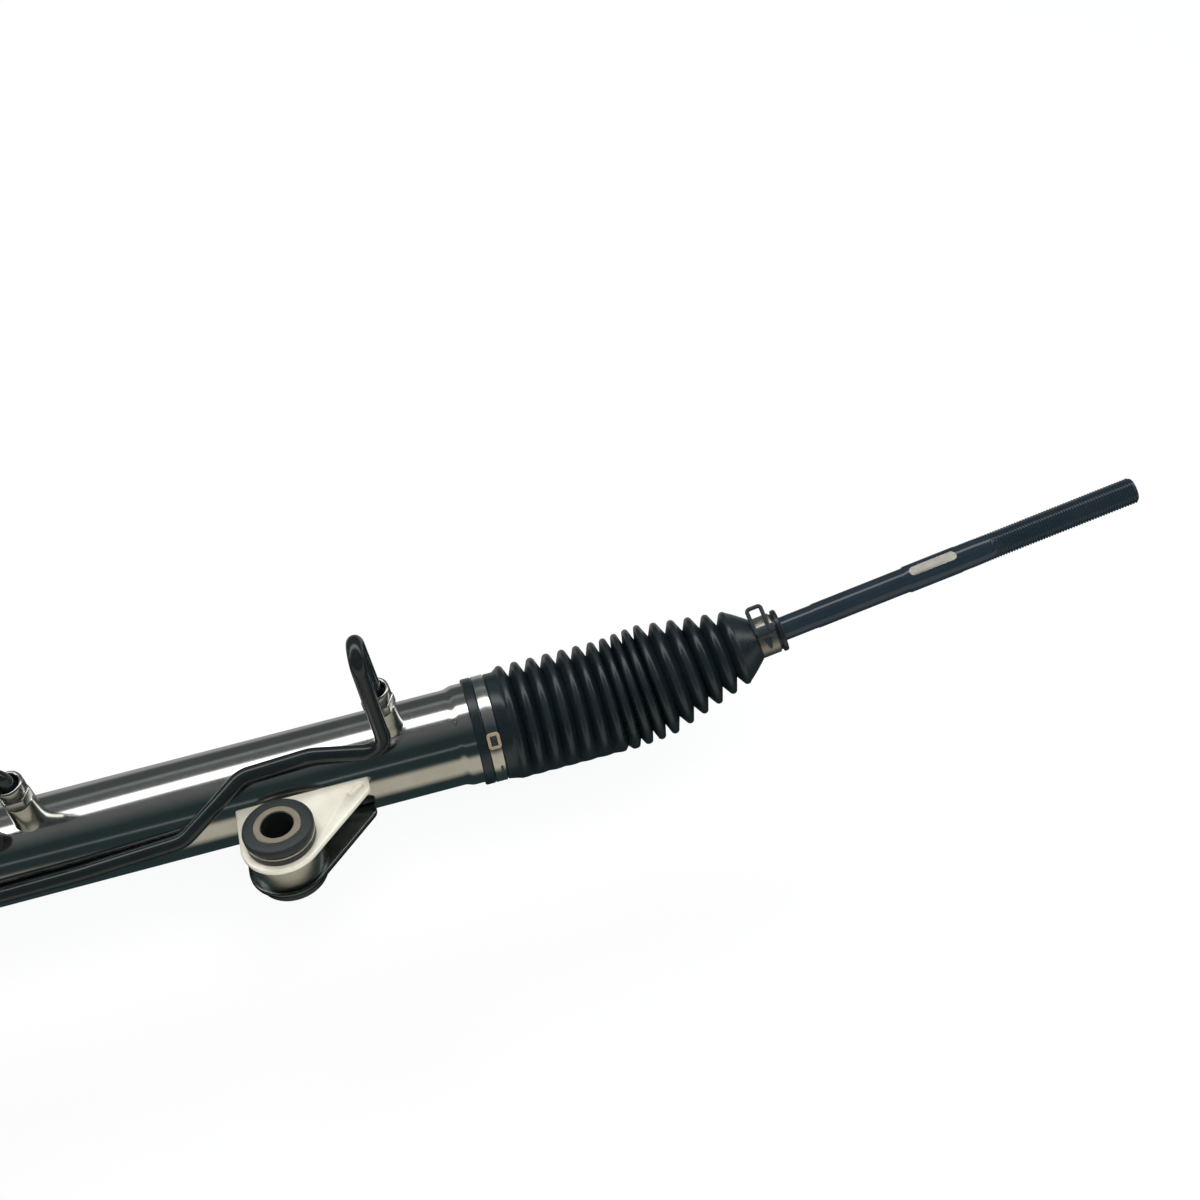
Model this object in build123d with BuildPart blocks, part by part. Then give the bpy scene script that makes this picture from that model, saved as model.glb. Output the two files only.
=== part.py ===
from build123d import *
from math import acos, atan, cos, degrees, pi, radians, sin, sqrt, tan
import os

# Hydraulic rack and pinion steering gear, in millimetres.
# The origin is the centre of the right mounting bush. +Z runs up along its bolt,
# and +X along the rack towards the right tie rod.

os.makedirs("parts", exist_ok=True)

# Place of the rack's axis, from the centre of the mounting bush
rack_y = 48.0
rack_z = -3.0

# Travel of the rack to each side of the middle
travel = 67.0
stop_gap = 1.0

# Cylinder tube with its flared right end
tube_wall = 4.0
tube_left_x = -208.0
flare_x = 94.0
flare_rise = 1.2
flare_slope = 3.0
tube_end = 24.0

# Rack bar
bar_radius = 12.5
running_gap = 0.05

# Bulkhead that closes the cylinder's right end
bulkhead_length = 23.0
bulkhead_face_x = 91.0

# Inner seal of the cylinder
inner_seal_x = -141.0
inner_seal_length = 9.0
seal_support_length = 4.0

# Piston
piston_x = -29.5
piston_length = 20.0
piston_gap = 0.2
piston_ring_width = 4.0

# Inner ball joint of each tie rod
ball_radius = 13.0
liner_thickness = 1.95
ball_housing_radius = 18.5
ball_housing_gap = 2.5
ball_housing_wall = 5.95
ball_mouth_angle = 58.0
liner_mouth_angle = 48.0
ball_housing_lip = 10.0
stud_radius = 7.9
stud_length = 18.0
wrench_flat_width = 33.0
wrench_flat_length = 9.0

# Tie rod, measured from the centre of its ball
rod_rise = 10.1
rod_length = 288.0
neck_radius = 6.7
seat_radius = 6.3
shank_radius = 6.6
key_radius = 7.15
thread_radius = 6.95
thread_start = 190.0
neck_end = 58.0
seat_end = 110.0
shank_end = 160.8
rod_tip_chamfer = 1.2
key_flat_length = 26.0
key_flat_width = 5.2
key_flat_start = 163.5
key_flat_lean = 18.0

# Rubber boot, stations measured from the flare along its bent centre line
boot_start = 3.5
boot_lip_end = 11.2
boot_lip_rise = 1.7
boot_groove_rise = 0.85
boot_groove_end = 19.4
boot_shoulder_rise = 1.4
boot_first_peak = 29.6
boot_wide_pitch = 8.2
boot_wide_count = 7
boot_middle_pitch = 6.5
boot_middle_count = 4
boot_end_pitch = 9.6
boot_end_count = 5
boot_wide_rise = 4.8
boot_middle_rise = 3.1
boot_end_radius = 19.8
boot_fold_depth = 6.5
boot_wall = 1.8
boot_neck_station = 163.0
boot_end_station = 178.0
boot_neck_radius = 9.7
boot_gap = 0.25
boot_bend_start = 62.0
boot_bend_length = 50.0

# Band clamp at the boot's wide end
clamp_width = 6.8
clamp_thickness = 0.8
buckle_length = 7.0
buckle_width = 7.4
buckle_height = 1.9
buckle_angle = 32.0

# Spring clip at the boot's narrow end
clip_width = 10.8
clip_thickness = 0.8
clip_start = 78.2
clip_loop_width = 6.8
clip_loop_height = 13.0
clip_loop_bar = 1.3
clip_bridge_width = 7.0

# Mounting bush
bush_bore_radius = 8.1
sleeve_radius = 11.8
sleeve_half_length = 19.3
rubber_radius = 17.6
rubber_half_length = 18.95
shell_radius = 18.3
shell_neck_radius = 16.4
shell_lip_radius = 17.2
shell_lip_height = 1.2
shell_bore_radius = 15.6
shell_half_length = 13.6

# Pressed bracket that carries the right bush
plate_thickness = 3.0
top_plate_z = 8.8
bottom_plate_z = -9.0
plate_ring_radius = 20.5
plate_tip = (41.8, 19.6)
plate_tip_radius = 4.8
dimple_length = 9.0
dimple_width = 3.4
dimple_depth = 0.8

# Hydraulic ports of the cylinder
outer_port_x = 61.8
inner_port_x = -116.2
port_lean = 84.0
inner_port_tilt = 4.0
port_boss_radius = 8.0
port_boss_height = 15.0
port_passage_radius = 3.0
port_socket_depth = 8.0
nut_hex_width = 14.8
nut_hex_height = 6.0
nut_neck_radius = 6.7
nut_neck_height = 1.2
nut_ring_radius = 7.6
nut_ring_height = 6.3
nut_recess_radius = 5.5

# Steel transfer lines
line_radius = 4.0
line_bore = 2.9
line_gap = 0.1

# Rack teeth
module = 2.0
pressure_angle = 20.0
rack_reference = 7.5
rack_addendum = 1.85
rack_dedendum = 2.1
backlash = 0.12
toothed_length = 163.4

# Pinion, whose axis leans to the left of the rack's normal
pinion_x = -298.0
pinion_lean = 15.0
pinion_teeth = 8
profile_shift = 0.45
pinion_tip_radius = 10.9
pinion_root_radius = 6.88
pinion_face = 36.0
lower_journal_radius = 6.0
upper_journal_radius = 9.0
pinion_head_radius = 15.5

# Stations along the pinion's axis, from the rack's axis level
tower_bottom = -46.0
pinion_foot = -40.0
lower_bearing_start = -31.0
lower_bearing_length = 9.0
upper_bearing_start = 24.0
upper_bearing_length = 10.0
valve_start = 40.0

# Heights and gaps of what is stacked on the pinion's head, from the valve up
valve_length = 40.0
input_bearing_gap = 1.0
input_bearing_length = 6.5
input_seal_gap = 0.5
input_seal_length = 5.5
retaining_ring_gap = 0.5
retaining_ring_thickness = 1.4
tower_lip = 1.6
dust_cap_height = 6.0
spline_gap = 1.0
spline_length = 24.0

# Bores around the pinion
lower_bearing_radius = 12.0
upper_bearing_radius = 14.0
valve_bore_radius = 18.1
gear_bore_radius = 13.0
bottom_bore_radius = 11.0
tower_radius = 24.0
gear_case_radius = 19.0

# Steering valve
valve_radius = 17.0
input_radius = 11.0
input_neck_radius = 9.5
spline_radius = 8.5
torsion_radius = 2.4
torsion_end_radius = 3.0
torsion_bottom = 14.0
pin_drop = 15.0
pin_radius = 1.5

# Cast housing
housing_barrel_radius = 22.0
tunnel_gap = 1.5
socket_wall = 6.0
socket_end_x = -186.0
socket_start_x = -216.0
ear_x = -240.0
ear_radius = 22.0
ear_half_height = 12.0
ear_root_half_width = 26.0
yoke_radius = 15.9
yoke_boss_radius = 22.0
yoke_boss_length = 42.0
yoke_back = 26.0
yoke_plug_radius = 18.0
yoke_spring_thickness = 1.2
line_port_radius = 8.5
line_port_face_x = -276.0
long_line_port = (22.0, 42.0)
short_line_port = (38.0, 62.0)
hose_boss_radius = 12.0
hose_boss_y = -2.0
pressure_port_rise = 10.0
return_port_drop = 2.0
pressure_hole_radius = 7.2
return_hole_radius = 8.2
hose_hole_depth = 12.0

# Stations that follow from the heights and gaps along the pinion
lower_bearing = (lower_bearing_start, lower_bearing_start + lower_bearing_length)
upper_bearing = (upper_bearing_start, upper_bearing_start + upper_bearing_length)
valve_end = valve_start + valve_length
input_bearing_start = valve_end + input_bearing_gap
input_bearing_end = input_bearing_start + input_bearing_length
input_seal_start = input_bearing_end + input_seal_gap
input_seal_end = input_seal_start + input_seal_length
retaining_ring_start = input_seal_end + retaining_ring_gap
retaining_ring_end = retaining_ring_start + retaining_ring_thickness
tower_top = retaining_ring_end + tower_lip
dust_cap_top = tower_top + dust_cap_height
spline_start = dust_cap_top + spline_gap
input_top = spline_start + spline_length
pin_station = input_top - pin_drop
pressure_port_station = valve_start + pressure_port_rise
return_port_station = valve_end - return_port_drop

# Sizes that follow from the driving ones
tube_bore = ball_housing_radius + ball_housing_gap
tube_radius = tube_bore + tube_wall
flare_radius = tube_radius + flare_rise
boot_lip_radius = flare_radius + boot_lip_rise
boot_groove_radius = flare_radius + boot_groove_rise
boot_shoulder_radius = flare_radius + boot_shoulder_rise
boot_wide_radius = flare_radius + boot_wide_rise
boot_middle_radius = flare_radius + boot_middle_rise
tunnel_radius = bar_radius + tunnel_gap
socket_radius = tube_radius + socket_wall
tube_end_x = flare_x + tube_end
socket_sphere = ball_radius + running_gap + liner_thickness + running_gap
ball_back = socket_sphere + ball_housing_wall
ball_x = bulkhead_face_x + stop_gap + travel + ball_back
right_bar_end = ball_x - ball_back
stop_offset = ball_x - bulkhead_face_x
rack_axis = Axis((0, rack_y, rack_z), (1, 0, 0))
long_section = Plane(origin=(0, rack_y, rack_z), x_dir=(1, 0, 0), z_dir=(0, -1, 0))
left_stop_x = -332.0
left_ball_x = left_stop_x - stop_offset
centre_plane = Plane(origin=((ball_x + left_ball_x) / 2, 0, 0), x_dir=(0, 1, 0), z_dir=(1, 0, 0))
left_bar_end = left_ball_x + ball_back
left_neck_x = left_stop_x - (tube_end_x - bulkhead_face_x)


def across_rack(x):
    """Plane square to the rack at station x. Its local x is +Y and its local y is +Z."""
    return Plane(origin=(x, rack_y, rack_z), x_dir=(0, 1, 0), z_dir=(1, 0, 0))


def around_rack(x, angle, radius):
    """Point at a radius from the rack's axis. Angle 0 faces the front and 90 faces up."""
    turn = radians(angle)
    return Vector(x, rack_y - radius * cos(turn), rack_z + radius * sin(turn))


def outline(plane, *points):
    """Closed straight-sided face on a plane, from its corners."""
    with BuildSketch(plane) as drawn:
        with BuildLine():
            Polyline(*points, close=True)
        make_face()
    return drawn.sketch


def disc(plane, radius):
    """Round face on a plane."""
    with BuildSketch(plane) as drawn:
        Circle(radius)
    return drawn.sketch


def ring(plane, outer, inner):
    """Ring-shaped face on a plane."""
    with BuildSketch(plane) as drawn:
        Circle(outer)
        Circle(inner, mode=Mode.SUBTRACT)
    return drawn.sketch


def half_disc(plane, radius):
    """Half of a round face, with its straight side along the plane's local x."""
    with BuildSketch(plane) as drawn:
        with BuildLine():
            CenterArc((0, 0), radius, 0, 180)
            Line((-radius, 0), (radius, 0))
        make_face()
    return drawn.sketch


def finish(piece, name):
    """Name a finished piece and write it to its own file."""
    piece.part.label = name
    export_step(piece.part, f"parts/{name}.step")


# Cylinder tube: drawn steel, flared where the boot fits over it
port_direction = around_rack(0, port_lean, 1) - around_rack(0, 0, 0)
inner_port_direction = port_direction.rotate(Axis.Y, -inner_port_tilt)


def port_plane(x, direction, height):
    """Plane square to a port's axis, at a height above the rack's axis."""
    foot = around_rack(x, 0, 0)
    return Plane(origin=foot + direction * height, x_dir=(1, 0, 0), z_dir=direction)


with BuildPart() as cylinder_tube:
    revolve(
        outline(
            long_section,
            (tube_left_x, tube_bore),
            (tube_left_x, tube_radius),
            (flare_x, tube_radius),
            (flare_x + flare_slope, flare_radius),
            (tube_end_x - flare_rise, flare_radius),
            (tube_end_x, tube_radius),
            (tube_end_x, tube_bore),
        ),
        axis=rack_axis,
    )
    for port_x, direction in ((outer_port_x, port_direction), (inner_port_x, inner_port_direction)):
        extrude(
            disc(port_plane(port_x, direction, 0), port_passage_radius),
            amount=tube_radius + 1,
            mode=Mode.SUBTRACT,
        )
finish(cylinder_tube, "cylinder_tube")


# Port bosses: steel stubs with a saddle foot, welded over the tube's two openings
boss_top = tube_radius + port_boss_height


def port_boss(x, direction):
    """Boss with a socket for its line and a passage into the cylinder."""
    with BuildPart() as boss:
        extrude(disc(port_plane(x, direction, 0), port_boss_radius), amount=boss_top)
        revolve(
            outline(
                long_section,
                (x - 2 * port_boss_radius, 0),
                (x - 2 * port_boss_radius, tube_radius),
                (x + 2 * port_boss_radius, tube_radius),
                (x + 2 * port_boss_radius, 0),
            ),
            axis=rack_axis,
            mode=Mode.SUBTRACT,
        )
        extrude(
            disc(port_plane(x, direction, 0), port_passage_radius),
            amount=boss_top,
            mode=Mode.SUBTRACT,
        )
        extrude(
            disc(port_plane(x, direction, boss_top - port_socket_depth), line_radius + line_gap),
            amount=port_socket_depth,
            mode=Mode.SUBTRACT,
        )
    return boss


outer_port_boss = port_boss(outer_port_x, port_direction)
finish(outer_port_boss, "outer_port_boss")
inner_port_boss = port_boss(inner_port_x, inner_port_direction)
finish(inner_port_boss, "inner_port_boss")


# Union nuts: a hexagon, a groove and a round collar with a deep mouth around the line
def union_nut(foot):
    """Nut that stands on a plane and grips the line that runs through it."""
    nut_height = nut_hex_height + nut_neck_height + nut_ring_height
    with BuildPart() as nut:
        with BuildSketch(foot):
            RegularPolygon(nut_hex_width / 2, 6, major_radius=False)
        extrude(amount=nut_hex_height)
        extrude(disc(foot.offset(nut_hex_height), nut_neck_radius), amount=nut_neck_height)
        extrude(
            disc(foot.offset(nut_hex_height + nut_neck_height), nut_ring_radius),
            amount=nut_ring_height,
        )
        extrude(disc(foot, line_radius + line_gap), amount=nut_height, mode=Mode.SUBTRACT)
        extrude(
            disc(foot.offset(nut_hex_height), nut_recess_radius),
            amount=nut_height,
            mode=Mode.SUBTRACT,
        )
    return nut


outer_port_nut = union_nut(port_plane(outer_port_x, port_direction, boss_top))
finish(outer_port_nut, "outer_port_nut")
inner_port_nut = union_nut(port_plane(inner_port_x, inner_port_direction, boss_top))
finish(inner_port_nut, "inner_port_nut")

long_port_foot = Plane(
    origin=(line_port_face_x, long_line_port[0], long_line_port[1]), x_dir=(0, 1, 0), z_dir=(1, 0, 0)
)
short_port_foot = Plane(
    origin=(line_port_face_x, short_line_port[0], short_line_port[1]), x_dir=(0, 1, 0), z_dir=(1, 0, 0)
)
with BuildPart() as valve_port_nuts:
    for foot in (long_port_foot, short_port_foot):
        add(union_nut(foot).part)
finish(valve_port_nuts, "valve_port_nuts")


# Transfer lines: bent steel pipes between the valve and the two ends of the cylinder
def bent_pipe(points, radii):
    """Hollow pipe along straight runs joined by round bends."""
    with BuildPart() as pipe:
        with BuildLine() as route:
            FilletPolyline(*points, radius=radii)
        with BuildSketch(Plane(origin=route.wire() @ 0, z_dir=route.wire() % 0)):
            Circle(line_radius)
            Circle(line_bore, mode=Mode.SUBTRACT)
        sweep()
    return pipe


outer_foot = around_rack(outer_port_x, 0, 0)
inner_foot = around_rack(inner_port_x, 0, 0)
line_start = boss_top - port_socket_depth + 0.5
loop_top = 81.0
loop_front_y = 22.6
loop_fall = 4.0
line_rest = tube_radius + line_radius + 0.6
line_foot_x = 55.5
line_shoulder_x = 22.0
line_crest_x = -13.0
line_knee_x = -30.0
line_shelf_x = -48.0
line_middle_x = -100.0
line_far_x = -160.0
line_ramp_x = -206.0
line_level_x = -226.0
line_ramp_in = 2.0
line_ramp_drop = 8.0

long_route = [
    outer_foot + port_direction * line_start,
    outer_foot + port_direction * loop_top,
    Vector(outer_port_x - 1.3, loop_front_y, loop_top - loop_fall),
    around_rack(line_foot_x, 52, line_rest),
    around_rack(line_shoulder_x, 64, line_rest),
    around_rack(line_crest_x, 61, line_rest),
    around_rack(line_knee_x, 38, line_rest + 0.6),
    around_rack(line_shelf_x, 14, line_rest),
    around_rack(line_middle_x, 8, line_rest),
    around_rack(line_far_x, 6, line_rest),
    around_rack(socket_end_x + 5, 14, socket_radius + line_radius + 1.5),
    Vector(line_ramp_x, long_line_port[0] - line_ramp_in, long_line_port[1] - line_ramp_drop),
    Vector(line_level_x, long_line_port[0], long_line_port[1]),
    Vector(line_port_face_x - port_socket_depth + 0.5, long_line_port[0], long_line_port[1]),
]
long_radii = [8.2, 8.2, 12, 25, 14, 25, 16, 60, 60, 30, 20, 25]
long_transfer_line = bent_pipe(long_route, long_radii)
finish(long_transfer_line, "long_transfer_line")

short_loop_top = 57.0
short_bend = (-139.0, 42.0, 68.0)
short_crest = (-168.0, 40.0, 74.0)
short_level_x = -218.0
short_route = [
    inner_foot + inner_port_direction * line_start,
    inner_foot + inner_port_direction * short_loop_top,
    Vector(*short_bend),
    Vector(*short_crest),
    Vector(short_level_x, short_line_port[0], short_line_port[1]),
    Vector(line_port_face_x - port_socket_depth + 0.5, short_line_port[0], short_line_port[1]),
]
short_radii = [12, 30, 40, 60]
short_transfer_line = bent_pipe(short_route, short_radii)
finish(short_transfer_line, "short_transfer_line")


# Bracket: two pressed steel plates welded to the tube, with the bush between them
def bracket_plate(lower_z):
    """Teardrop plate, cut where it meets the tube and bored for the bush."""
    tube_front_y = rack_y - tube_radius
    with BuildPart() as plate:
        with BuildSketch(Plane.XY.offset(lower_z)):
            with BuildSketch(mode=Mode.PRIVATE) as corners:
                Circle(plate_ring_radius)
                with Locations(plate_tip):
                    Circle(plate_tip_radius)
                with Locations((-plate_ring_radius + 1, tube_front_y + 6)):
                    Circle(1)
                with Locations((plate_tip[0] + plate_tip_radius - 1, tube_front_y + 6)):
                    Circle(1)
            make_hull(corners.sketch.edges())
            Circle(shell_neck_radius + running_gap, mode=Mode.SUBTRACT)
        extrude(amount=plate_thickness)
        revolve(
            outline(
                long_section,
                (-2 * plate_ring_radius, 0),
                (-2 * plate_ring_radius, tube_radius),
                (flare_x, tube_radius),
                (flare_x, 0),
            ),
            axis=rack_axis,
            mode=Mode.SUBTRACT,
        )
    return plate


bracket_top = bracket_plate(top_plate_z - plate_thickness)
with BuildPart() as bracket_top_plate:
    add(bracket_top.part)
    with BuildSketch(Plane.XY.offset(top_plate_z - dimple_depth)):
        with Locations((plate_tip[0] - 2.5, plate_tip[1] - 0.5)):
            SlotOverall(dimple_length, dimple_width, rotation=40)
    extrude(amount=dimple_depth, mode=Mode.SUBTRACT)
finish(bracket_top_plate, "bracket_top_plate")
bracket_bottom_plate = bracket_plate(bottom_plate_z - plate_thickness)
finish(bracket_bottom_plate, "bracket_bottom_plate")


# Mounting bushes: an outer shell, a rubber body with two discs and an inner sleeve
def bush_axis(x):
    """Upright axis of the bush at station x."""
    return Axis((x, 0, 0), (0, 0, 1))


def bush_section(x):
    """Upright plane through the bush at station x. Its local x is the radius."""
    return Plane(origin=(x, 0, 0), x_dir=(1, 0, 0), z_dir=(0, -1, 0))


def rubber_bush(x):
    """Rubber body that joins the shell to the sleeve."""
    edge = 0.8
    with BuildPart() as rubber:
        revolve(
            outline(
                bush_section(x),
                (sleeve_radius, -rubber_half_length),
                (rubber_radius - edge, -rubber_half_length),
                (rubber_radius, -rubber_half_length + edge),
                (rubber_radius, -shell_half_length),
                (shell_bore_radius, -shell_half_length),
                (shell_bore_radius, shell_half_length),
                (rubber_radius, shell_half_length),
                (rubber_radius, rubber_half_length - edge),
                (rubber_radius - edge, rubber_half_length),
                (sleeve_radius, rubber_half_length),
            ),
            axis=bush_axis(x),
        )
    return rubber


def bush_sleeve(x):
    """Steel sleeve that the mounting bolt passes through."""
    with BuildPart() as sleeve:
        extrude(
            ring(Plane(origin=(x, 0, -sleeve_half_length)), sleeve_radius, bush_bore_radius),
            amount=2 * sleeve_half_length,
        )
        chamfer(sleeve.edges().filter_by(GeomType.CIRCLE), length=0.5)
    return sleeve


plate_lower_z = top_plate_z - plate_thickness
with BuildPart() as right_bush_shell:
    revolve(
        outline(
            bush_section(0),
            (shell_bore_radius, -shell_half_length),
            (shell_lip_radius, -shell_half_length),
            (shell_lip_radius, -shell_half_length + shell_lip_height),
            (shell_neck_radius, -shell_half_length + shell_lip_height),
            (shell_neck_radius, bottom_plate_z),
            (shell_radius, bottom_plate_z),
            (shell_radius, plate_lower_z),
            (shell_neck_radius, plate_lower_z),
            (shell_neck_radius, shell_half_length - shell_lip_height),
            (shell_lip_radius, shell_half_length - shell_lip_height),
            (shell_lip_radius, shell_half_length),
            (shell_bore_radius, shell_half_length),
        ),
        axis=bush_axis(0),
    )
finish(right_bush_shell, "right_bush_shell")

with BuildPart() as left_bush_shell:
    extrude(
        ring(Plane(origin=(ear_x, 0, -shell_half_length)), shell_radius, shell_bore_radius),
        amount=2 * shell_half_length,
    )
finish(left_bush_shell, "left_bush_shell")

for bush_name, bush_x in (("right", 0), ("left", ear_x)):
    finish(rubber_bush(bush_x), f"{bush_name}_bush_rubber")
    finish(bush_sleeve(bush_x), f"{bush_name}_bush_sleeve")


# Bulkhead: closes the cylinder, guides the rack and stops its travel to the left
bulkhead_inner_x = bulkhead_face_x - bulkhead_length
seal_length = 7.0
with BuildPart() as end_bulkhead:
    revolve(
        outline(
            long_section,
            (bulkhead_inner_x, bar_radius + 4),
            (bulkhead_inner_x, tube_bore),
            (bulkhead_face_x - 3, tube_bore),
            (bulkhead_face_x, tube_bore - 3),
            (bulkhead_face_x, bar_radius + running_gap),
            (bulkhead_inner_x + seal_length, bar_radius + running_gap),
            (bulkhead_inner_x + seal_length, bar_radius + 4),
        ),
        axis=rack_axis,
    )
finish(end_bulkhead, "end_bulkhead")

with BuildPart() as bulkhead_seal:
    extrude(
        ring(across_rack(bulkhead_inner_x), bar_radius + 4, bar_radius + running_gap),
        amount=seal_length,
    )
finish(bulkhead_seal, "bulkhead_seal")

with BuildPart() as bulkhead_ring:
    extrude(
        ring(across_rack(bulkhead_face_x), tube_bore, ball_housing_radius + 0.5),
        amount=1.5,
    )
finish(bulkhead_ring, "bulkhead_ring")


# Inner seal of the cylinder and the ring that holds it
with BuildPart() as inner_rack_seal:
    extrude(
        ring(across_rack(inner_seal_x), tube_bore, bar_radius + running_gap),
        amount=inner_seal_length,
    )
finish(inner_rack_seal, "inner_rack_seal")

with BuildPart() as inner_seal_support:
    extrude(
        ring(across_rack(inner_seal_x + inner_seal_length), tube_bore, bar_radius + 1),
        amount=seal_support_length,
    )
finish(inner_seal_support, "inner_seal_support")


# Rack bar: a ground steel bar with teeth on its front and a threaded hole in each end
tip_offset = rack_reference + rack_addendum
root_offset = rack_reference - rack_dedendum
tooth_pitch = module * pi
flank = tan(radians(pressure_angle))
half_gap = (tooth_pitch + 2 * backlash) / 4
rack_gaps = round(toothed_length / tooth_pitch)
teeth_half_length = rack_gaps / 2 * tooth_pitch + 3
end_chamfer = 1.0

with BuildPart() as rack_bar:
    extrude(disc(across_rack(left_bar_end), bar_radius), amount=right_bar_end - left_bar_end)
    chamfer(rack_bar.edges().filter_by(GeomType.CIRCLE), length=end_chamfer)
    extrude(
        disc(across_rack(left_bar_end), stud_radius + 0.1), amount=stud_length + 2, mode=Mode.SUBTRACT
    )
    extrude(
        disc(across_rack(right_bar_end), stud_radius + 0.1), amount=-stud_length - 2, mode=Mode.SUBTRACT
    )
    teeth_plane = Plane(origin=(pinion_x, rack_y, rack_z), x_dir=(1, 0, 0), z_dir=(0, 0, 1))
    extrude(
        outline(
            teeth_plane,
            (-teeth_half_length, -tip_offset),
            (-teeth_half_length - 4, -bar_radius - 1),
            (teeth_half_length + 4, -bar_radius - 1),
            (teeth_half_length, -tip_offset),
        ),
        amount=bar_radius,
        both=True,
        mode=Mode.SUBTRACT,
    )
    half_root = half_gap - rack_dedendum * flank
    half_mouth = half_gap + (rack_addendum + 1) * flank
    with BuildSketch(teeth_plane):
        for i in range(rack_gaps):
            gap_x = (i - (rack_gaps - 1) / 2) * tooth_pitch
            with BuildLine():
                Polyline(
                    (gap_x - half_root, -root_offset),
                    (gap_x + half_root, -root_offset),
                    (gap_x + half_mouth, -tip_offset - 1),
                    (gap_x - half_mouth, -tip_offset - 1),
                    close=True,
                )
            make_face()
    extrude(amount=bar_radius, both=True, mode=Mode.SUBTRACT)
finish(rack_bar, "rack_bar")


# Piston and its sealing ring, fixed on the rack bar inside the cylinder
piston_start = piston_x - piston_length / 2
ring_seat_radius = tube_bore - 2.0
with BuildPart() as piston:
    extrude(
        ring(across_rack(piston_start), tube_bore - piston_gap, bar_radius), amount=piston_length
    )
    extrude(
        ring(across_rack(piston_x - piston_ring_width / 2), tube_bore, ring_seat_radius),
        amount=piston_ring_width,
        mode=Mode.SUBTRACT,
    )
finish(piston, "piston")

with BuildPart() as piston_ring:
    extrude(
        ring(
            across_rack(piston_x - piston_ring_width / 2), tube_bore - running_gap, ring_seat_radius
        ),
        amount=piston_ring_width,
    )
finish(piston_ring, "piston_ring")


# Ball joint housing: screwed into the end of the rack, its lip rolled over the ball
ball_centre = Vector(ball_x, rack_y, rack_z)
rod_direction = Vector(cos(radians(rod_rise)), 0, sin(radians(rod_rise)))
ball_section = Plane(origin=ball_centre, x_dir=(1, 0, 0), z_dir=(0, -1, 0))
rod_section = Plane(origin=ball_centre, x_dir=rod_direction, z_dir=(0, -1, 0))
rod_axis = Axis(ball_centre, rod_direction)


def cone_face(plane, half_angle, length):
    """Half section of a cone that opens from the plane's origin along its local x."""
    return outline(plane, (0, 0), (length, length * tan(radians(half_angle))), (length, 0))


with BuildPart() as right_ball_housing:
    revolve(
        outline(
            ball_section,
            (-ball_back - stud_length, 0),
            (-ball_back - stud_length, stud_radius - 1),
            (-ball_back - stud_length + 1, stud_radius),
            (-ball_back, stud_radius),
            (-ball_back, ball_housing_radius - 1),
            (-ball_back + 1, ball_housing_radius),
            (ball_housing_lip - 6, ball_housing_radius),
            (ball_housing_lip, ball_housing_radius - 2.5),
            (ball_housing_lip, 0),
        ),
        axis=rack_axis,
    )
    revolve(half_disc(ball_section, socket_sphere), axis=rack_axis, mode=Mode.SUBTRACT)
    revolve(
        cone_face(ball_section, ball_mouth_angle, ball_housing_lip),
        axis=rack_axis,
        mode=Mode.SUBTRACT,
    )
    with BuildSketch(across_rack(ball_x - ball_back)):
        Circle(ball_housing_radius + 1)
        Rectangle(wrench_flat_width, 3 * ball_housing_radius, mode=Mode.SUBTRACT)
    extrude(amount=wrench_flat_length, mode=Mode.SUBTRACT)
finish(right_ball_housing, "right_ball_housing")


# Liner between the ball and its housing
with BuildPart() as right_ball_seat:
    revolve(half_disc(rod_section, ball_radius + running_gap + liner_thickness), axis=rod_axis)
    revolve(half_disc(rod_section, ball_radius + running_gap), axis=rod_axis, mode=Mode.SUBTRACT)
    revolve(
        cone_face(rod_section, liner_mouth_angle, 2 * ball_radius),
        axis=rod_axis,
        mode=Mode.SUBTRACT,
    )
finish(right_ball_seat, "right_ball_seat")


# Tie rod: a forged bar with its ball, a seat for the boot and a threaded outer end
key_direction = Vector(-sin(radians(rod_rise)), 0, cos(radians(rod_rise))).rotate(
    Axis((0, 0, 0), rod_direction), key_flat_lean
)
key_depth = key_radius - sqrt(key_radius**2 - (key_flat_width / 2) ** 2)
with BuildPart() as right_tie_rod:
    revolve(half_disc(rod_section, ball_radius), axis=rod_axis)
    revolve(
        outline(
            rod_section,
            (ball_radius - 4, 0),
            (ball_radius - 4, neck_radius),
            (neck_end, neck_radius),
            (neck_end + 1, seat_radius),
            (seat_end, seat_radius),
            (seat_end + 1, shank_radius),
            (shank_end, shank_radius),
            (shank_end + 1, key_radius),
            (thread_start, key_radius),
            (thread_start, thread_radius),
            (rod_length - rod_tip_chamfer, thread_radius),
            (rod_length, thread_radius - rod_tip_chamfer),
            (rod_length, 0),
        ),
        axis=rod_axis,
    )
    for side in (1, -1):
        key_plane = Plane(
            origin=ball_centre
            + rod_direction * (key_flat_start + key_flat_length / 2)
            + key_direction * side * (key_radius - key_depth),
            x_dir=rod_direction,
            z_dir=key_direction * side,
        )
        with BuildSketch(key_plane):
            SlotOverall(key_flat_length, key_flat_width)
        extrude(amount=1, mode=Mode.SUBTRACT)
finish(right_tie_rod, "right_tie_rod")


# Rubber boot: bellows between the flare and the seat on the tie rod
ball_station = ball_x - flare_x


def boot_plane(station):
    """Plane of the boot's round section at a station along its bent centre line."""
    share = min(max((station - boot_bend_start) / boot_bend_length, 0), 1)
    rise = radians(rod_rise) * share
    if station < ball_station:
        centre = Vector(flare_x + station, rack_y, rack_z)
    else:
        centre = ball_centre + rod_direction * (station - ball_station)
    return Plane(origin=centre, x_dir=(0, 1, 0), z_dir=(cos(rise), 0, sin(rise)))


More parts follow.
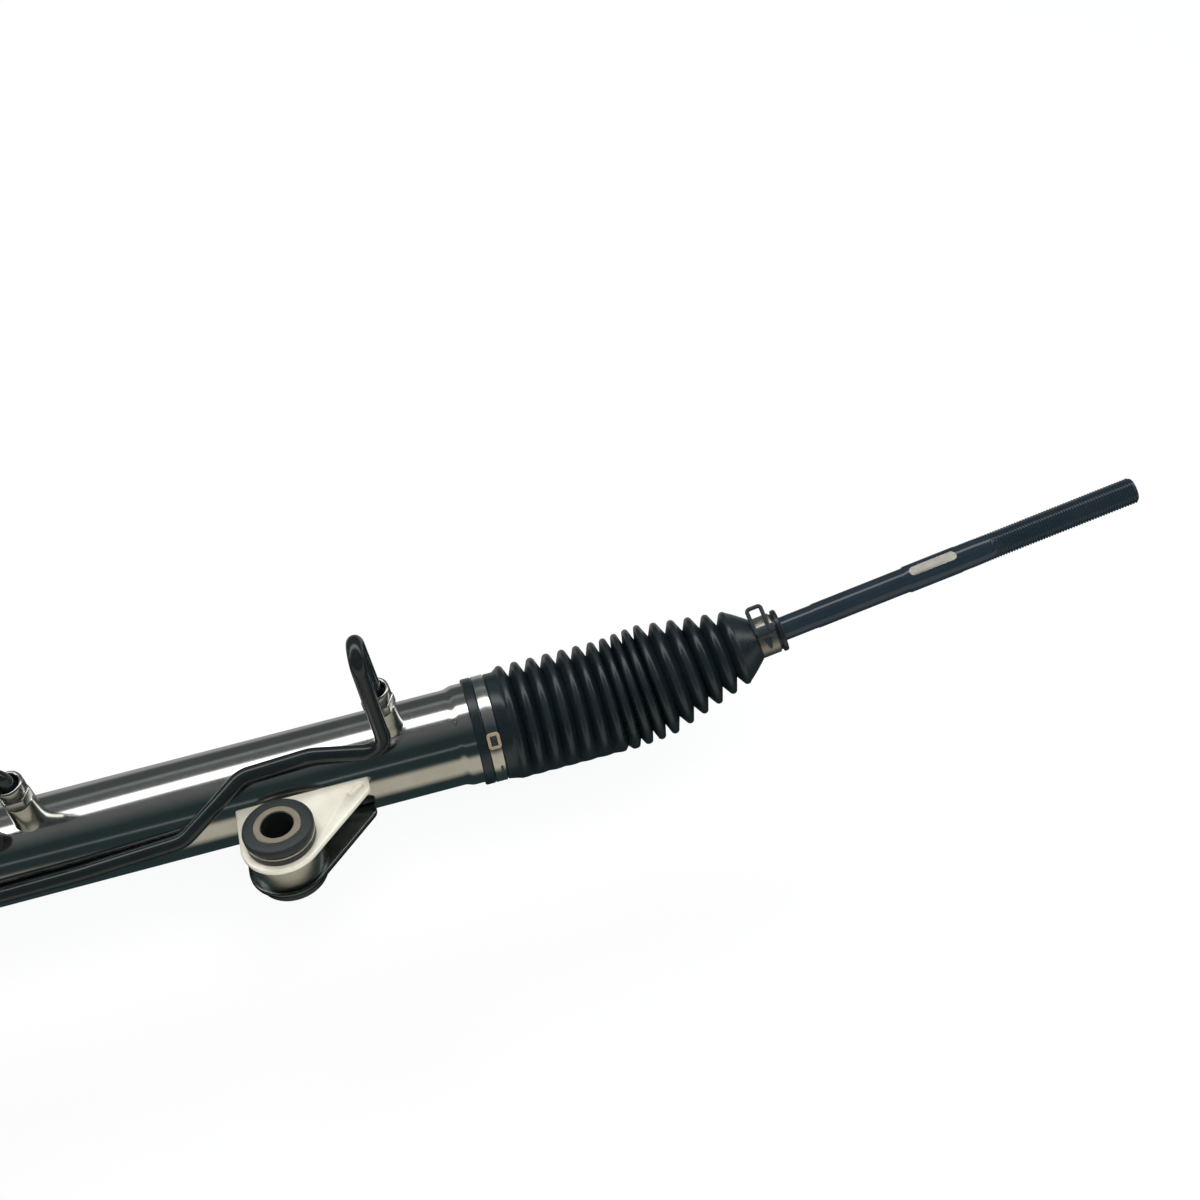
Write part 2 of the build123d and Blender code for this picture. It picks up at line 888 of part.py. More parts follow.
def boot_peaks():
    """Station and radius of each fold of the boot, from its wide end."""
    folds = []
    station = boot_first_peak
    for i in range(boot_wide_count):
        folds.append((station, boot_wide_radius))
        station += boot_wide_pitch
    station += boot_middle_pitch - boot_wide_pitch
    for i in range(boot_middle_count):
        folds.append((station, boot_middle_radius))
        station += boot_middle_pitch
    station += boot_end_pitch - boot_middle_pitch
    for i in range(boot_end_count):
        share = (i + 0.8) / (boot_end_count - 0.2)
        folds.append((station, boot_middle_radius + (boot_end_radius - boot_middle_radius) * share))
        station += boot_end_pitch
    return folds


folds = boot_peaks()
boot_outside = [
    (boot_start, boot_lip_radius - 0.5),
    (boot_start + 0.8, boot_lip_radius),
    (boot_lip_end - 0.7, boot_lip_radius),
    (boot_lip_end, boot_groove_radius),
    (boot_groove_end, boot_groove_radius),
    (boot_groove_end + 0.4, boot_shoulder_radius),
    (boot_first_peak - 4, boot_shoulder_radius),
]
for i, (station, radius) in enumerate(folds):
    boot_outside.append((station, radius))
    if i + 1 < len(folds):
        next_station, next_radius = folds[i + 1]
        valley = (radius + next_radius) / 2 - boot_fold_depth
        boot_outside.append(((station + next_station) / 2, valley))
boot_outside += [
    (boot_neck_station, boot_neck_radius + 2),
    (boot_neck_station + 1, boot_neck_radius),
    (boot_end_station, boot_neck_radius),
]
wide_inside = boot_wide_radius - boot_fold_depth - boot_wall
middle_inside = boot_middle_radius - boot_fold_depth - boot_wall
end_inside = boot_end_radius - boot_fold_depth - boot_wall
boot_inside = [
    (boot_start, flare_radius),
    (tube_end + 0.3, flare_radius),
    (boot_first_peak, wide_inside),
    (folds[boot_wide_count - 1][0], wide_inside),
    (folds[boot_wide_count][0], middle_inside),
    (folds[boot_wide_count + boot_middle_count - 1][0], middle_inside),
    (folds[-1][0], end_inside),
    (boot_neck_station, seat_radius + boot_gap),
    (boot_end_station, seat_radius + boot_gap),
]

with BuildPart() as right_boot:
    loft([disc(boot_plane(station), radius).face() for station, radius in boot_outside], ruled=True)
    loft(
        [disc(boot_plane(station), radius).face() for station, radius in boot_inside],
        ruled=True,
        mode=Mode.SUBTRACT,
    )
finish(right_boot, "right_boot")


# Band clamp on the boot's wide end, with its buckle
clamp_start_x = flare_x + (boot_lip_end + boot_groove_end - clamp_width) / 2
clamp_inner = boot_groove_radius
buckle_direction = around_rack(0, buckle_angle, 1) - around_rack(0, 0, 0)
with BuildPart() as right_boot_clamp:
    extrude(
        ring(across_rack(clamp_start_x), clamp_inner + clamp_thickness, clamp_inner),
        amount=clamp_width,
    )
    with BuildSketch(
        Plane(
            origin=around_rack(clamp_start_x + clamp_width / 2, buckle_angle, clamp_inner + 0.4),
            x_dir=(1, 0, 0),
            z_dir=buckle_direction,
        )
    ):
        RectangleRounded(buckle_width, buckle_length, 1.2)
    extrude(amount=buckle_height)
    revolve(
        outline(
            long_section,
            (clamp_start_x - 2, 0),
            (clamp_start_x - 2, clamp_inner),
            (clamp_start_x + clamp_width + 2, clamp_inner),
            (clamp_start_x + clamp_width + 2, 0),
        ),
        axis=rack_axis,
        mode=Mode.SUBTRACT,
    )
finish(right_boot_clamp, "right_boot_clamp")


# Spring clip on the boot's narrow end, with its standing loop and its bridge
clip_inner = boot_neck_radius + 0.15
rod_up = Vector(-sin(radians(rod_rise)), 0, cos(radians(rod_rise)))


def rod_plane(station):
    """Plane square to the tie rod at a distance from its ball."""
    return Plane(origin=ball_centre + rod_direction * station, x_dir=(0, 1, 0), z_dir=rod_direction)


with BuildPart() as right_boot_clip:
    extrude(ring(rod_plane(clip_start), clip_inner + clip_thickness, clip_inner), amount=clip_width)
    loop_base = clip_inner + clip_thickness / 2
    loop_plane = Plane(
        origin=ball_centre
        + rod_direction * (clip_start + clip_loop_width / 2 - 0.5)
        + rod_up * (loop_base + clip_loop_height / 2)
        + Vector(0, -2.0, 0),
        x_dir=rod_direction,
        z_dir=(0, -1, 0),
    )
    with BuildSketch(loop_plane):
        Rectangle(clip_loop_width, clip_loop_height)
        Rectangle(
            clip_loop_width - 2 * clip_loop_bar,
            clip_loop_height - 2 * clip_loop_bar,
            mode=Mode.SUBTRACT,
        )
    extrude(amount=clip_thickness)
    bridge_plane = Plane(
        origin=ball_centre + rod_direction * (clip_start + clip_width / 2) + rod_up * loop_base,
        x_dir=rod_direction,
        z_dir=rod_up,
    )
    with BuildSketch(bridge_plane):
        Rectangle(clip_width, clip_bridge_width)
    extrude(amount=1.6)
    extrude(disc(rod_plane(clip_start - 1), clip_inner), amount=clip_width + 2, mode=Mode.SUBTRACT)
finish(right_boot_clip, "right_boot_clip")


# Left side: the same ball joint, tie rod and boot, mirrored about the rack's middle
right_pieces = {
    "ball_housing": right_ball_housing,
    "ball_seat": right_ball_seat,
    "tie_rod": right_tie_rod,
    "boot": right_boot,
    "boot_clamp": right_boot_clamp,
    "boot_clip": right_boot_clip,
}
for piece_name, right_piece in right_pieces.items():
    with BuildPart() as left_piece:
        mirror(right_piece.part, about=centre_plane)
    finish(left_piece, f"left_{piece_name}")


# Pinion: helical teeth that mesh with the straight teeth of the rack
lean = radians(pinion_lean)
pinion_direction = Vector(-sin(lean), 0, cos(lean))
pitch_radius = module * pinion_teeth / (2 * cos(lean))
centre_distance = rack_reference + pitch_radius + profile_shift * module
pinion_centre = Vector(pinion_x, rack_y - centre_distance, rack_z)
pinion_axis = Axis(pinion_centre, pinion_direction)
pinion_section = Plane(origin=pinion_centre, x_dir=pinion_direction, z_dir=(0, -1, 0))


def across_pinion(station):
    """Plane square to the pinion at a station along its axis. Its local x faces the rack."""
    return Plane(
        origin=pinion_centre + pinion_direction * station, x_dir=(0, 1, 0), z_dir=pinion_direction
    )


def involute(angle):
    """Involute function of a pressure angle in radians."""
    return tan(angle) - angle


transverse_angle = atan(tan(radians(pressure_angle)) / cos(lean))
base_radius = pitch_radius * cos(transverse_angle)
normal_thickness = module * (pi / 2 + 2 * profile_shift * tan(radians(pressure_angle)))
pitch_half_angle = normal_thickness / cos(lean) / (2 * pitch_radius)
face_twist = degrees(pinion_face * tan(lean) / pitch_radius)


def tooth_half_angle(radius):
    """Half the angle that a tooth fills at a radius."""
    return pitch_half_angle + involute(transverse_angle) - involute(acos(base_radius / radius))


def on_flank(tooth_angle, radius, side):
    """Point on one flank of a tooth, at a radius."""
    angle = tooth_angle + side * tooth_half_angle(radius)
    return (radius * cos(angle), radius * sin(angle))


flank_radii = [base_radius + (pinion_tip_radius - base_radius) * share for share in (0, 0.3, 0.65, 1)]
root_half_angle = tooth_half_angle(base_radius)
tooth_angle_step = 2 * pi / pinion_teeth
with BuildSketch(across_pinion(-pinion_face / 2)) as pinion_profile:
    with BuildLine():
        for i in range(pinion_teeth):
            tooth_angle = (i + 0.5) * tooth_angle_step + radians(face_twist / 2)
            right_flank = [on_flank(tooth_angle, radius, -1) for radius in flank_radii]
            left_flank = [on_flank(tooth_angle, radius, 1) for radius in reversed(flank_radii)]
            right_root = (
                pinion_root_radius * cos(tooth_angle - root_half_angle),
                pinion_root_radius * sin(tooth_angle - root_half_angle),
            )
            left_root = (
                pinion_root_radius * cos(tooth_angle + root_half_angle),
                pinion_root_radius * sin(tooth_angle + root_half_angle),
            )
            next_root_angle = tooth_angle + tooth_angle_step - root_half_angle
            gap_angle = tooth_angle + tooth_angle_step / 2
            Line(right_root, right_flank[0])
            Spline(*right_flank)
            ThreePointArc(
                right_flank[-1],
                (pinion_tip_radius * cos(tooth_angle), pinion_tip_radius * sin(tooth_angle)),
                left_flank[0],
            )
            Spline(*left_flank)
            Line(left_flank[-1], left_root)
            ThreePointArc(
                left_root,
                (pinion_root_radius * cos(gap_angle), pinion_root_radius * sin(gap_angle)),
                (
                    pinion_root_radius * cos(next_root_angle),
                    pinion_root_radius * sin(next_root_angle),
                ),
            )
    make_face()

with BuildPart() as pinion:
    add(
        Solid.extrude_linear_with_rotation(
            pinion_profile.sketch.face(),
            pinion_centre - pinion_direction * pinion_face / 2,
            pinion_direction * pinion_face,
            -face_twist,
        )
    )
    revolve(
        outline(
            pinion_section,
            (pinion_foot, 0),
            (pinion_foot, lower_journal_radius - 1),
            (lower_bearing[0] - 1, lower_journal_radius - 1),
            (lower_bearing[0] - 1, lower_journal_radius),
            (lower_bearing[1] + 0.2, lower_journal_radius),
            (lower_bearing[1] + 0.2, pinion_root_radius),
            (pinion_face / 2 - 2, pinion_root_radius),
            (pinion_face / 2, upper_journal_radius),
            (upper_bearing[1] + 2.5, upper_journal_radius),
            (upper_bearing[1] + 2.5, pinion_head_radius),
            (valve_start, pinion_head_radius),
            (valve_start, 0),
        ),
        axis=pinion_axis,
    )
    revolve(
        outline(
            pinion_section,
            (torsion_bottom - 0.3, 0),
            (torsion_bottom - 0.3, torsion_end_radius + running_gap),
            (torsion_bottom + 10, torsion_end_radius + running_gap),
            (torsion_bottom + 10, torsion_end_radius + 1.2),
            (valve_start, torsion_end_radius + 1.2),
            (valve_start, 0),
        ),
        axis=pinion_axis,
        mode=Mode.SUBTRACT,
    )
finish(pinion, "pinion")

with BuildPart() as pinion_nut:
    with BuildSketch(across_pinion(lower_bearing[0] - 6.2)):
        RegularPolygon(8.0, 6, major_radius=False)
        Circle(lower_journal_radius - 1, mode=Mode.SUBTRACT)
    extrude(amount=5.0)
finish(pinion_nut, "pinion_nut")


# Valve sleeve on the pinion's head, with its four sealing rings
groove_depth = 0.6
ring_width = 2.0
ring_margin = 4.0
valve_ring_count = 4
ring_step = (valve_length - 2 * ring_margin - 0.5) / (valve_ring_count - 1)
ring_stations = [valve_start + ring_margin + i * ring_step for i in range(valve_ring_count)]
with BuildPart() as valve_sleeve:
    extrude(
        ring(across_pinion(valve_start), valve_radius, input_radius + running_gap),
        amount=valve_length,
    )
    for station in ring_stations:
        extrude(
            ring(across_pinion(station), valve_radius, valve_radius - groove_depth),
            amount=ring_width,
            mode=Mode.SUBTRACT,
        )
finish(valve_sleeve, "valve_sleeve")

with BuildPart() as valve_rings:
    for station in ring_stations:
        extrude(
            ring(
                across_pinion(station), valve_bore_radius - running_gap, valve_radius - groove_depth
            ),
            amount=ring_width,
        )
finish(valve_rings, "valve_rings")


# Input shaft, turned by the steering column through a torsion bar
torsion_top = input_top - 6.0
with BuildPart() as input_shaft:
    revolve(
        outline(
            pinion_section,
            (valve_start + 0.5, torsion_radius + 1.8),
            (valve_start + 0.5, input_radius - running_gap),
            (valve_end, input_radius - running_gap),
            (valve_end + 0.5, input_neck_radius),
            (spline_start - 1, input_neck_radius),
            (spline_start, spline_radius),
            (input_top - 1, spline_radius),
            (input_top, spline_radius - 1),
            (input_top, 0),
            (torsion_top + 0.5, 0),
            (torsion_top + 0.5, torsion_end_radius),
            (spline_start, torsion_end_radius),
            (spline_start, torsion_radius + 1.8),
        ),
        axis=pinion_axis,
    )
    pin_plane = Plane(
        origin=pinion_centre + pinion_direction * pin_station,
        x_dir=pinion_direction,
        z_dir=(0, 1, 0),
    )
    extrude(disc(pin_plane, pin_radius), amount=spline_radius, both=True, mode=Mode.SUBTRACT)
finish(input_shaft, "input_shaft")

with BuildPart() as torsion_bar:
    revolve(
        outline(
            pinion_section,
            (torsion_bottom, 0),
            (torsion_bottom, torsion_end_radius),
            (torsion_bottom + 9, torsion_end_radius),
            (torsion_bottom + 11, torsion_radius),
            (spline_start, torsion_radius),
            (spline_start + 2, torsion_end_radius),
            (torsion_top, torsion_end_radius),
            (torsion_top, 0),
        ),
        axis=pinion_axis,
    )
    extrude(disc(pin_plane, pin_radius), amount=spline_radius, both=True, mode=Mode.SUBTRACT)
finish(torsion_bar, "torsion_bar")

with BuildPart() as torsion_pin:
    extrude(disc(pin_plane, pin_radius), amount=spline_radius - 0.3, both=True)
finish(torsion_pin, "torsion_pin")


# Bearings, seals and caps around the pinion and the input shaft
def pinion_ring(span, outer, inner):
    """Ring around the pinion's axis between two stations."""
    with BuildPart() as turned_ring:
        extrude(ring(across_pinion(span[0]), outer, inner), amount=span[1] - span[0])
    return turned_ring


finish(
    pinion_ring(lower_bearing, lower_bearing_radius, lower_journal_radius + running_gap),
    "lower_bearing",
)
finish(
    pinion_ring(upper_bearing, upper_bearing_radius, upper_journal_radius + running_gap),
    "upper_bearing",
)
finish(
    pinion_ring(
        (input_bearing_start, input_bearing_end), valve_bore_radius, input_neck_radius + running_gap
    ),
    "input_bearing",
)
finish(
    pinion_ring(
        (input_seal_start, input_seal_end), valve_bore_radius, input_neck_radius + running_gap
    ),
    "input_seal",
)
ring_groove_radius = valve_bore_radius + 1.0
finish(
    pinion_ring(
        (retaining_ring_start, retaining_ring_end), ring_groove_radius, valve_bore_radius - 3.0
    ),
    "retaining_ring",
)

with BuildPart() as dust_cap:
    revolve(
        outline(
            pinion_section,
            (tower_top, input_neck_radius + 0.3),
            (tower_top, tower_radius - 2),
            (tower_top + 2, tower_radius - 2),
            (tower_top + 3.5, tower_radius - 6),
            (dust_cap_top - 1, input_neck_radius + 3),
            (dust_cap_top, input_neck_radius + 2),
            (dust_cap_top, input_neck_radius + 0.3),
        ),
        axis=pinion_axis,
    )
finish(dust_cap, "dust_cap")

with BuildPart() as bottom_cap:
    revolve(
        outline(
            pinion_section,
            (tower_bottom - 6, 0),
            (tower_bottom - 6, bottom_bore_radius + 1),
            (tower_bottom - 5, bottom_bore_radius + 2.5),
            (tower_bottom, bottom_bore_radius + 2.5),
            (tower_bottom, bottom_bore_radius),
            (tower_bottom + 4.5, bottom_bore_radius),
            (tower_bottom + 4.5, 0),
        ),
        axis=pinion_axis,
    )
    with BuildSketch(across_pinion(tower_bottom - 6)):
        RegularPolygon(6.0, 6, major_radius=False)
    extrude(amount=3.5, mode=Mode.SUBTRACT)
finish(bottom_cap, "bottom_cap")


# Yoke: presses the rack into the pinion, with its spring, plug and lock nut
yoke_section = Plane(origin=(pinion_x, rack_y, rack_z), x_dir=(0, 1, 0), z_dir=(0, 0, 1))
yoke_axis = Axis((pinion_x, rack_y, rack_z), (0, 1, 0))


def yoke_plane(distance):
    """Plane square to the yoke's axis, at a distance behind the rack's axis."""
    return Plane(origin=(pinion_x, rack_y + distance, rack_z), x_dir=(1, 0, 0), z_dir=(0, 1, 0))


yoke_front = 3.0
spring_height = 3.0
plug_front = yoke_back + spring_height
plug_length = 20.0
lock_nut_thickness = 5.0
with BuildPart() as yoke:
    extrude(disc(yoke_plane(yoke_front), yoke_radius), amount=yoke_back - yoke_front)
    extrude(
        disc(across_rack(pinion_x), bar_radius + running_gap),
        amount=2 * yoke_radius,
        both=True,
        mode=Mode.SUBTRACT,
    )
finish(yoke, "yoke")

with BuildPart() as yoke_spring:
    revolve(
        outline(
            yoke_section,
            (yoke_back, 13),
            (yoke_back + yoke_spring_thickness, 13),
            (plug_front, 6),
            (plug_front - yoke_spring_thickness, 6),
        ),
        axis=yoke_axis,
    )
finish(yoke_spring, "yoke_spring")

with BuildPart() as yoke_plug:
    extrude(disc(yoke_plane(plug_front), yoke_plug_radius), amount=plug_length)
    with BuildSketch(yoke_plane(plug_front + plug_length)):
        RegularPolygon(7.0, 6, major_radius=False)
    extrude(amount=-8, mode=Mode.SUBTRACT)
finish(yoke_plug, "yoke_plug")

with BuildPart() as yoke_lock_nut:
    with BuildSketch(yoke_plane(yoke_boss_length)):
        RegularPolygon(yoke_boss_radius, 6, major_radius=False)
        Circle(yoke_plug_radius, mode=Mode.SUBTRACT)
    extrude(amount=lock_nut_thickness)
finish(yoke_lock_nut, "yoke_lock_nut")


# Rubber buffer pad on the tube
pad_x = -138.0
pad_angle = 64.0
pad_radius = 6.8
pad_height = 7.0
pad_direction = around_rack(0, pad_angle, 1) - around_rack(0, 0, 0)
with BuildPart() as buffer_pad:
    extrude(disc(port_plane(pad_x, pad_direction, 0), pad_radius), amount=tube_radius + pad_height)
    fillet(buffer_pad.edges().filter_by(GeomType.CIRCLE).sort_by(Axis.Z)[-1], radius=2.5)
    revolve(
        outline(
            long_section,
            (pad_x - 2 * pad_radius, 0),
            (pad_x - 2 * pad_radius, tube_radius),
            (pad_x + 2 * pad_radius, tube_radius),
            (pad_x + 2 * pad_radius, 0),
        ),
        axis=rack_axis,
        mode=Mode.SUBTRACT,
    )
finish(buffer_pad, "buffer_pad")


# Cast aluminium housing for the pinion and the valve
neck_slope = 6.0
port_root_x = -300.0
with BuildPart() as pinion_housing:
    revolve(
        outline(
            long_section,
            (left_neck_x, 0),
            (left_neck_x, tube_radius),
            (left_neck_x + flare_rise, flare_radius),
            (left_stop_x + 1, flare_radius),
            (left_stop_x + 1 + neck_slope, housing_barrel_radius),
            (socket_start_x - neck_slope, housing_barrel_radius),
            (socket_start_x + 3, socket_radius),
            (socket_end_x - 2, socket_radius),
            (socket_end_x, socket_radius - 2),
            (socket_end_x, 0),
        ),
        axis=rack_axis,
    )
    revolve(
        outline(
            pinion_section,
            (tower_bottom, 0),
            (tower_bottom, gear_case_radius - 2),
            (tower_bottom + 2, gear_case_radius),
            (upper_bearing[0], gear_case_radius),
            (upper_bearing[1] - 2, tower_radius),
            (tower_top - 1.5, tower_radius),
            (tower_top, tower_radius - 1.5),
            (tower_top, 0),
        ),
        axis=pinion_axis,
    )
    extrude(disc(yoke_plane(0), yoke_boss_radius), amount=yoke_boss_length)
    with BuildSketch(Plane.XY.offset(-ear_half_height)):
        with BuildSketch(mode=Mode.PRIVATE) as ear_corners:
            with Locations((ear_x, 0)):
                Circle(ear_radius)
            with Locations(
                (ear_x - ear_root_half_width, rack_y), (ear_x + ear_root_half_width, rack_y)
            ):
                Circle(2)
        make_hull(ear_corners.sketch.edges())
    extrude(amount=2 * ear_half_height)
    for foot in (long_port_foot, short_port_foot):
        extrude(disc(foot, line_port_radius), amount=port_root_x - line_port_face_x)
    hose_ports = (
        (pressure_port_station, pressure_hole_radius),
        (return_port_station, return_hole_radius),
    )
    for station, hole_radius in hose_ports:
        middle = pinion_centre + pinion_direction * station
        hose_plane = Plane(origin=(middle.X, hose_boss_y, middle.Z), x_dir=(1, 0, 0), z_dir=(0, -1, 0))
        extrude(disc(hose_plane, hose_boss_radius), amount=hose_boss_y - middle.Y)

    extrude(
        disc(across_rack(left_neck_x), tube_bore),
        amount=left_stop_x - left_neck_x,
        mode=Mode.SUBTRACT,
    )
    extrude(
        disc(across_rack(left_stop_x), tunnel_radius),
        amount=tube_left_x - left_stop_x,
        mode=Mode.SUBTRACT,
    )
    extrude(
        disc(across_rack(tube_left_x), tube_radius),
        amount=socket_end_x - tube_left_x,
        mode=Mode.SUBTRACT,
    )
    revolve(
        outline(
            pinion_section,
            (tower_bottom, 0),
            (tower_bottom, bottom_bore_radius),
            (lower_bearing[0], bottom_bore_radius),
            (lower_bearing[0], lower_bearing_radius),
            (lower_bearing[1], lower_bearing_radius),
            (lower_bearing[1], gear_bore_radius),
            (upper_bearing[0], gear_bore_radius),
            (upper_bearing[0], upper_bearing_radius),
            (upper_bearing[1], upper_bearing_radius),
            (upper_bearing[1], valve_bore_radius),
            (retaining_ring_start, valve_bore_radius),
            (retaining_ring_start, ring_groove_radius),
            (retaining_ring_end, ring_groove_radius),
            (retaining_ring_end, valve_bore_radius),
            (tower_top, valve_bore_radius),
            (tower_top, 0),
        ),
        axis=pinion_axis,
        mode=Mode.SUBTRACT,
    )
    extrude(disc(yoke_plane(0), yoke_radius + 0.1), amount=yoke_boss_length, mode=Mode.SUBTRACT)
    extrude(
        disc(yoke_plane(plug_front), yoke_plug_radius),
        amount=yoke_boss_length - plug_front,
        mode=Mode.SUBTRACT,
    )
    extrude(
        disc(Plane(origin=(ear_x, 0, -ear_half_height)), shell_radius),
        amount=2 * ear_half_height,
        mode=Mode.SUBTRACT,
    )
    for foot in (long_port_foot, short_port_foot):
        extrude(disc(foot, line_radius + line_gap), amount=-port_socket_depth, mode=Mode.SUBTRACT)
        extrude(disc(foot, port_passage_radius), amount=port_root_x - line_port_face_x, mode=Mode.SUBTRACT)
    for station, hole_radius in hose_ports:
        middle = pinion_centre + pinion_direction * station
        hose_plane = Plane(origin=(middle.X, hose_boss_y, middle.Z), x_dir=(1, 0, 0), z_dir=(0, -1, 0))
        extrude(disc(hose_plane, hole_radius), amount=-hose_hole_depth, mode=Mode.SUBTRACT)
        extrude(disc(hose_plane, port_passage_radius), amount=hose_boss_y - middle.Y, mode=Mode.SUBTRACT)
finish(pinion_housing, "pinion_housing")
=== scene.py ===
from math import atan2, cos, pi, radians, sin, tan

import bmesh
import bpy
from mathutils import Matrix, Vector


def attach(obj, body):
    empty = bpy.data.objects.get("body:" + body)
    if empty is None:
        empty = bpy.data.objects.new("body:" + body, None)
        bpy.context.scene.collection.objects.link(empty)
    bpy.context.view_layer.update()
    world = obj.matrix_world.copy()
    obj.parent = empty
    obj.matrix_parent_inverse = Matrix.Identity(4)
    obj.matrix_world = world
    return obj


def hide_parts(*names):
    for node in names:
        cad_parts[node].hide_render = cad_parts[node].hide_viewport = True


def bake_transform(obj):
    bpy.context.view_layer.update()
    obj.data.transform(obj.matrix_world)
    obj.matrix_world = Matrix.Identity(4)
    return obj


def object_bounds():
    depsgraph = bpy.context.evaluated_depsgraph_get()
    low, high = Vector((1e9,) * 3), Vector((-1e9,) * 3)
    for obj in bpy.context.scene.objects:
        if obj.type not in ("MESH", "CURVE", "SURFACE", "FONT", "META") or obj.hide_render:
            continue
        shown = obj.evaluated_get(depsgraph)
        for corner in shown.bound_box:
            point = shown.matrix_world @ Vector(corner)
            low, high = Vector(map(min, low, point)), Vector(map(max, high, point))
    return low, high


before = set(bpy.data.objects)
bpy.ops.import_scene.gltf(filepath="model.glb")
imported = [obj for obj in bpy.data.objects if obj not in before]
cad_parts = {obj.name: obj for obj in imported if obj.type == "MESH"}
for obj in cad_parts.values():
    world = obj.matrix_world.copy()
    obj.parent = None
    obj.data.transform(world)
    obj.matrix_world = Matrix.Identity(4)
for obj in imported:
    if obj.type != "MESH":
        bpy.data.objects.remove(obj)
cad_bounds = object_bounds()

# Camera: above and in front of the right half, as the photograph was taken.
# The view is 1200 by 1200, with a focal length of 1800 in the same measure.
camera_position = Vector((0.0815, -0.5992, 0.6660))
camera_right = Vector((0.9632, -0.2457, -0.1089))
camera_back = Vector((-0.1094, -0.7284, 0.6764))
camera = bpy.data.objects.new("camera", bpy.data.cameras.new("camera"))
bpy.context.scene.collection.objects.link(camera)
camera_up = camera_back.cross(camera_right).normalized()
camera_right = camera_up.cross(camera_back).normalized()
camera.matrix_world = Matrix.Translation(camera_position) @ (
    Matrix((camera_right, camera_up, camera_back.normalized())).transposed().to_4x4()
)
camera.data.sensor_width = 36.0
camera.data.lens = 54.0
camera.data.clip_start = 0.05
camera.data.clip_end = 60.0
bpy.context.scene.camera = camera
bpy.context.scene.view_settings.view_transform = "Standard"


# Studio: a white room, a pale floor and two soft lamps.
# Long panels round the gear are seen by glossy surfaces alone. They give the polished
# tube its bright streak and its dark bands.
MM = 0.001
room_tint = (0.93, 0.97, 1.0, 1)
room_strength = 0.55
white = (1, 1, 1, 1)


def new_material(name):
    """Empty node material with its output node."""
    material = bpy.data.materials.new(name)
    material.use_nodes = True
    material.node_tree.nodes.clear()
    output = material.node_tree.nodes.new("ShaderNodeOutputMaterial")
    return material, material.node_tree.nodes, material.node_tree.links, output


world = bpy.data.worlds.new("studio")
bpy.context.scene.world = world
world.use_nodes = True
world_nodes = world.node_tree.nodes
world_links = world.node_tree.links
world_nodes.clear()
world_output = world_nodes.new("ShaderNodeOutputWorld")
room_light = world_nodes.new("ShaderNodeBackground")
room_light.inputs["Color"].default_value = room_tint
room_light.inputs["Strength"].default_value = room_strength
room_white = world_nodes.new("ShaderNodeBackground")
room_white.inputs["Color"].default_value = white
room_white.inputs["Strength"].default_value = 1.0
room_mix = world_nodes.new("ShaderNodeMixShader")
room_path = world_nodes.new("ShaderNodeLightPath")
seen = world_nodes.new("ShaderNodeMath")
seen.operation = "MAXIMUM"
seen_or_through = world_nodes.new("ShaderNodeMath")
seen_or_through.operation = "MAXIMUM"
world_links.new(room_path.outputs["Is Camera Ray"], seen.inputs[0])
world_links.new(room_path.outputs["Is Glossy Ray"], seen.inputs[1])
world_links.new(seen.outputs[0], seen_or_through.inputs[0])
world_links.new(room_path.outputs["Is Transmission Ray"], seen_or_through.inputs[1])
world_links.new(seen_or_through.outputs[0], room_mix.inputs["Fac"])
world_links.new(room_light.outputs[0], room_mix.inputs[1])
world_links.new(room_white.outputs[0], room_mix.inputs[2])
world_links.new(room_mix.outputs[0], world_output.inputs["Surface"])

# The tie rods reach 52 mm below the solids' box at their lower limit, and clear the floor.
# The camera sees it mostly as plain white, and the rest takes the gear's shadow.
floor_drop = 54.0 * MM
floor_size = 8.0
floor_grey = (0.9, 0.9, 0.9, 1)
floor_white_share = 0.82
floor_bm = bmesh.new()
bmesh.ops.create_grid(floor_bm, x_segments=1, y_segments=1, size=floor_size)
bmesh.ops.translate(
    floor_bm, verts=floor_bm.verts, vec=(0, 0, cad_bounds[0].z - floor_drop)
)
floor_mesh = bpy.data.meshes.new("floor")
floor_bm.to_mesh(floor_mesh)
floor = bpy.data.objects.new("floor", floor_mesh)
bpy.context.scene.collection.objects.link(floor)
floor.visible_glossy = False
floor_material, nodes, links, output = new_material("pale_floor")
floor_matt = nodes.new("ShaderNodeBsdfDiffuse")
floor_matt.inputs["Color"].default_value = floor_grey
floor_white = nodes.new("ShaderNodeEmission")
floor_white.inputs["Color"].default_value = white
floor_mix = nodes.new("ShaderNodeMixShader")
floor_path = nodes.new("ShaderNodeLightPath")
floor_share = nodes.new("ShaderNodeMath")
floor_share.operation = "MULTIPLY"
floor_share.inputs[1].default_value = floor_white_share
links.new(floor_path.outputs["Is Camera Ray"], floor_share.inputs[0])
links.new(floor_share.outputs[0], floor_mix.inputs["Fac"])
links.new(floor_matt.outputs[0], floor_mix.inputs[1])
links.new(floor_white.outputs[0], floor_mix.inputs[2])
links.new(floor_mix.outputs[0], output.inputs["Surface"])
floor.data.materials.append(floor_material)

for lamp_name, place, size, power, tint in (
    ("key_lamp", (0.5, -1.4, 2.2), 1.6, 48.0, (1.0, 0.99, 0.97)),
    ("back_lamp", (-0.4, 1.6, 1.8), 1.8, 26.0, (0.96, 0.98, 1.0)),
):
    lamp = bpy.data.lights.new(lamp_name, "AREA")
    lamp.shape = "SQUARE"
    lamp.size = size
    lamp.energy = power
    lamp.color = tint
    lamp_object = bpy.data.objects.new(lamp_name, lamp)
    bpy.context.scene.collection.objects.link(lamp_object)
    lamp_object.location = place
    lamp_object.rotation_euler = (-Vector(place)).to_track_quat("-Z", "Y").to_euler()
    lamp_object.visible_glossy = False

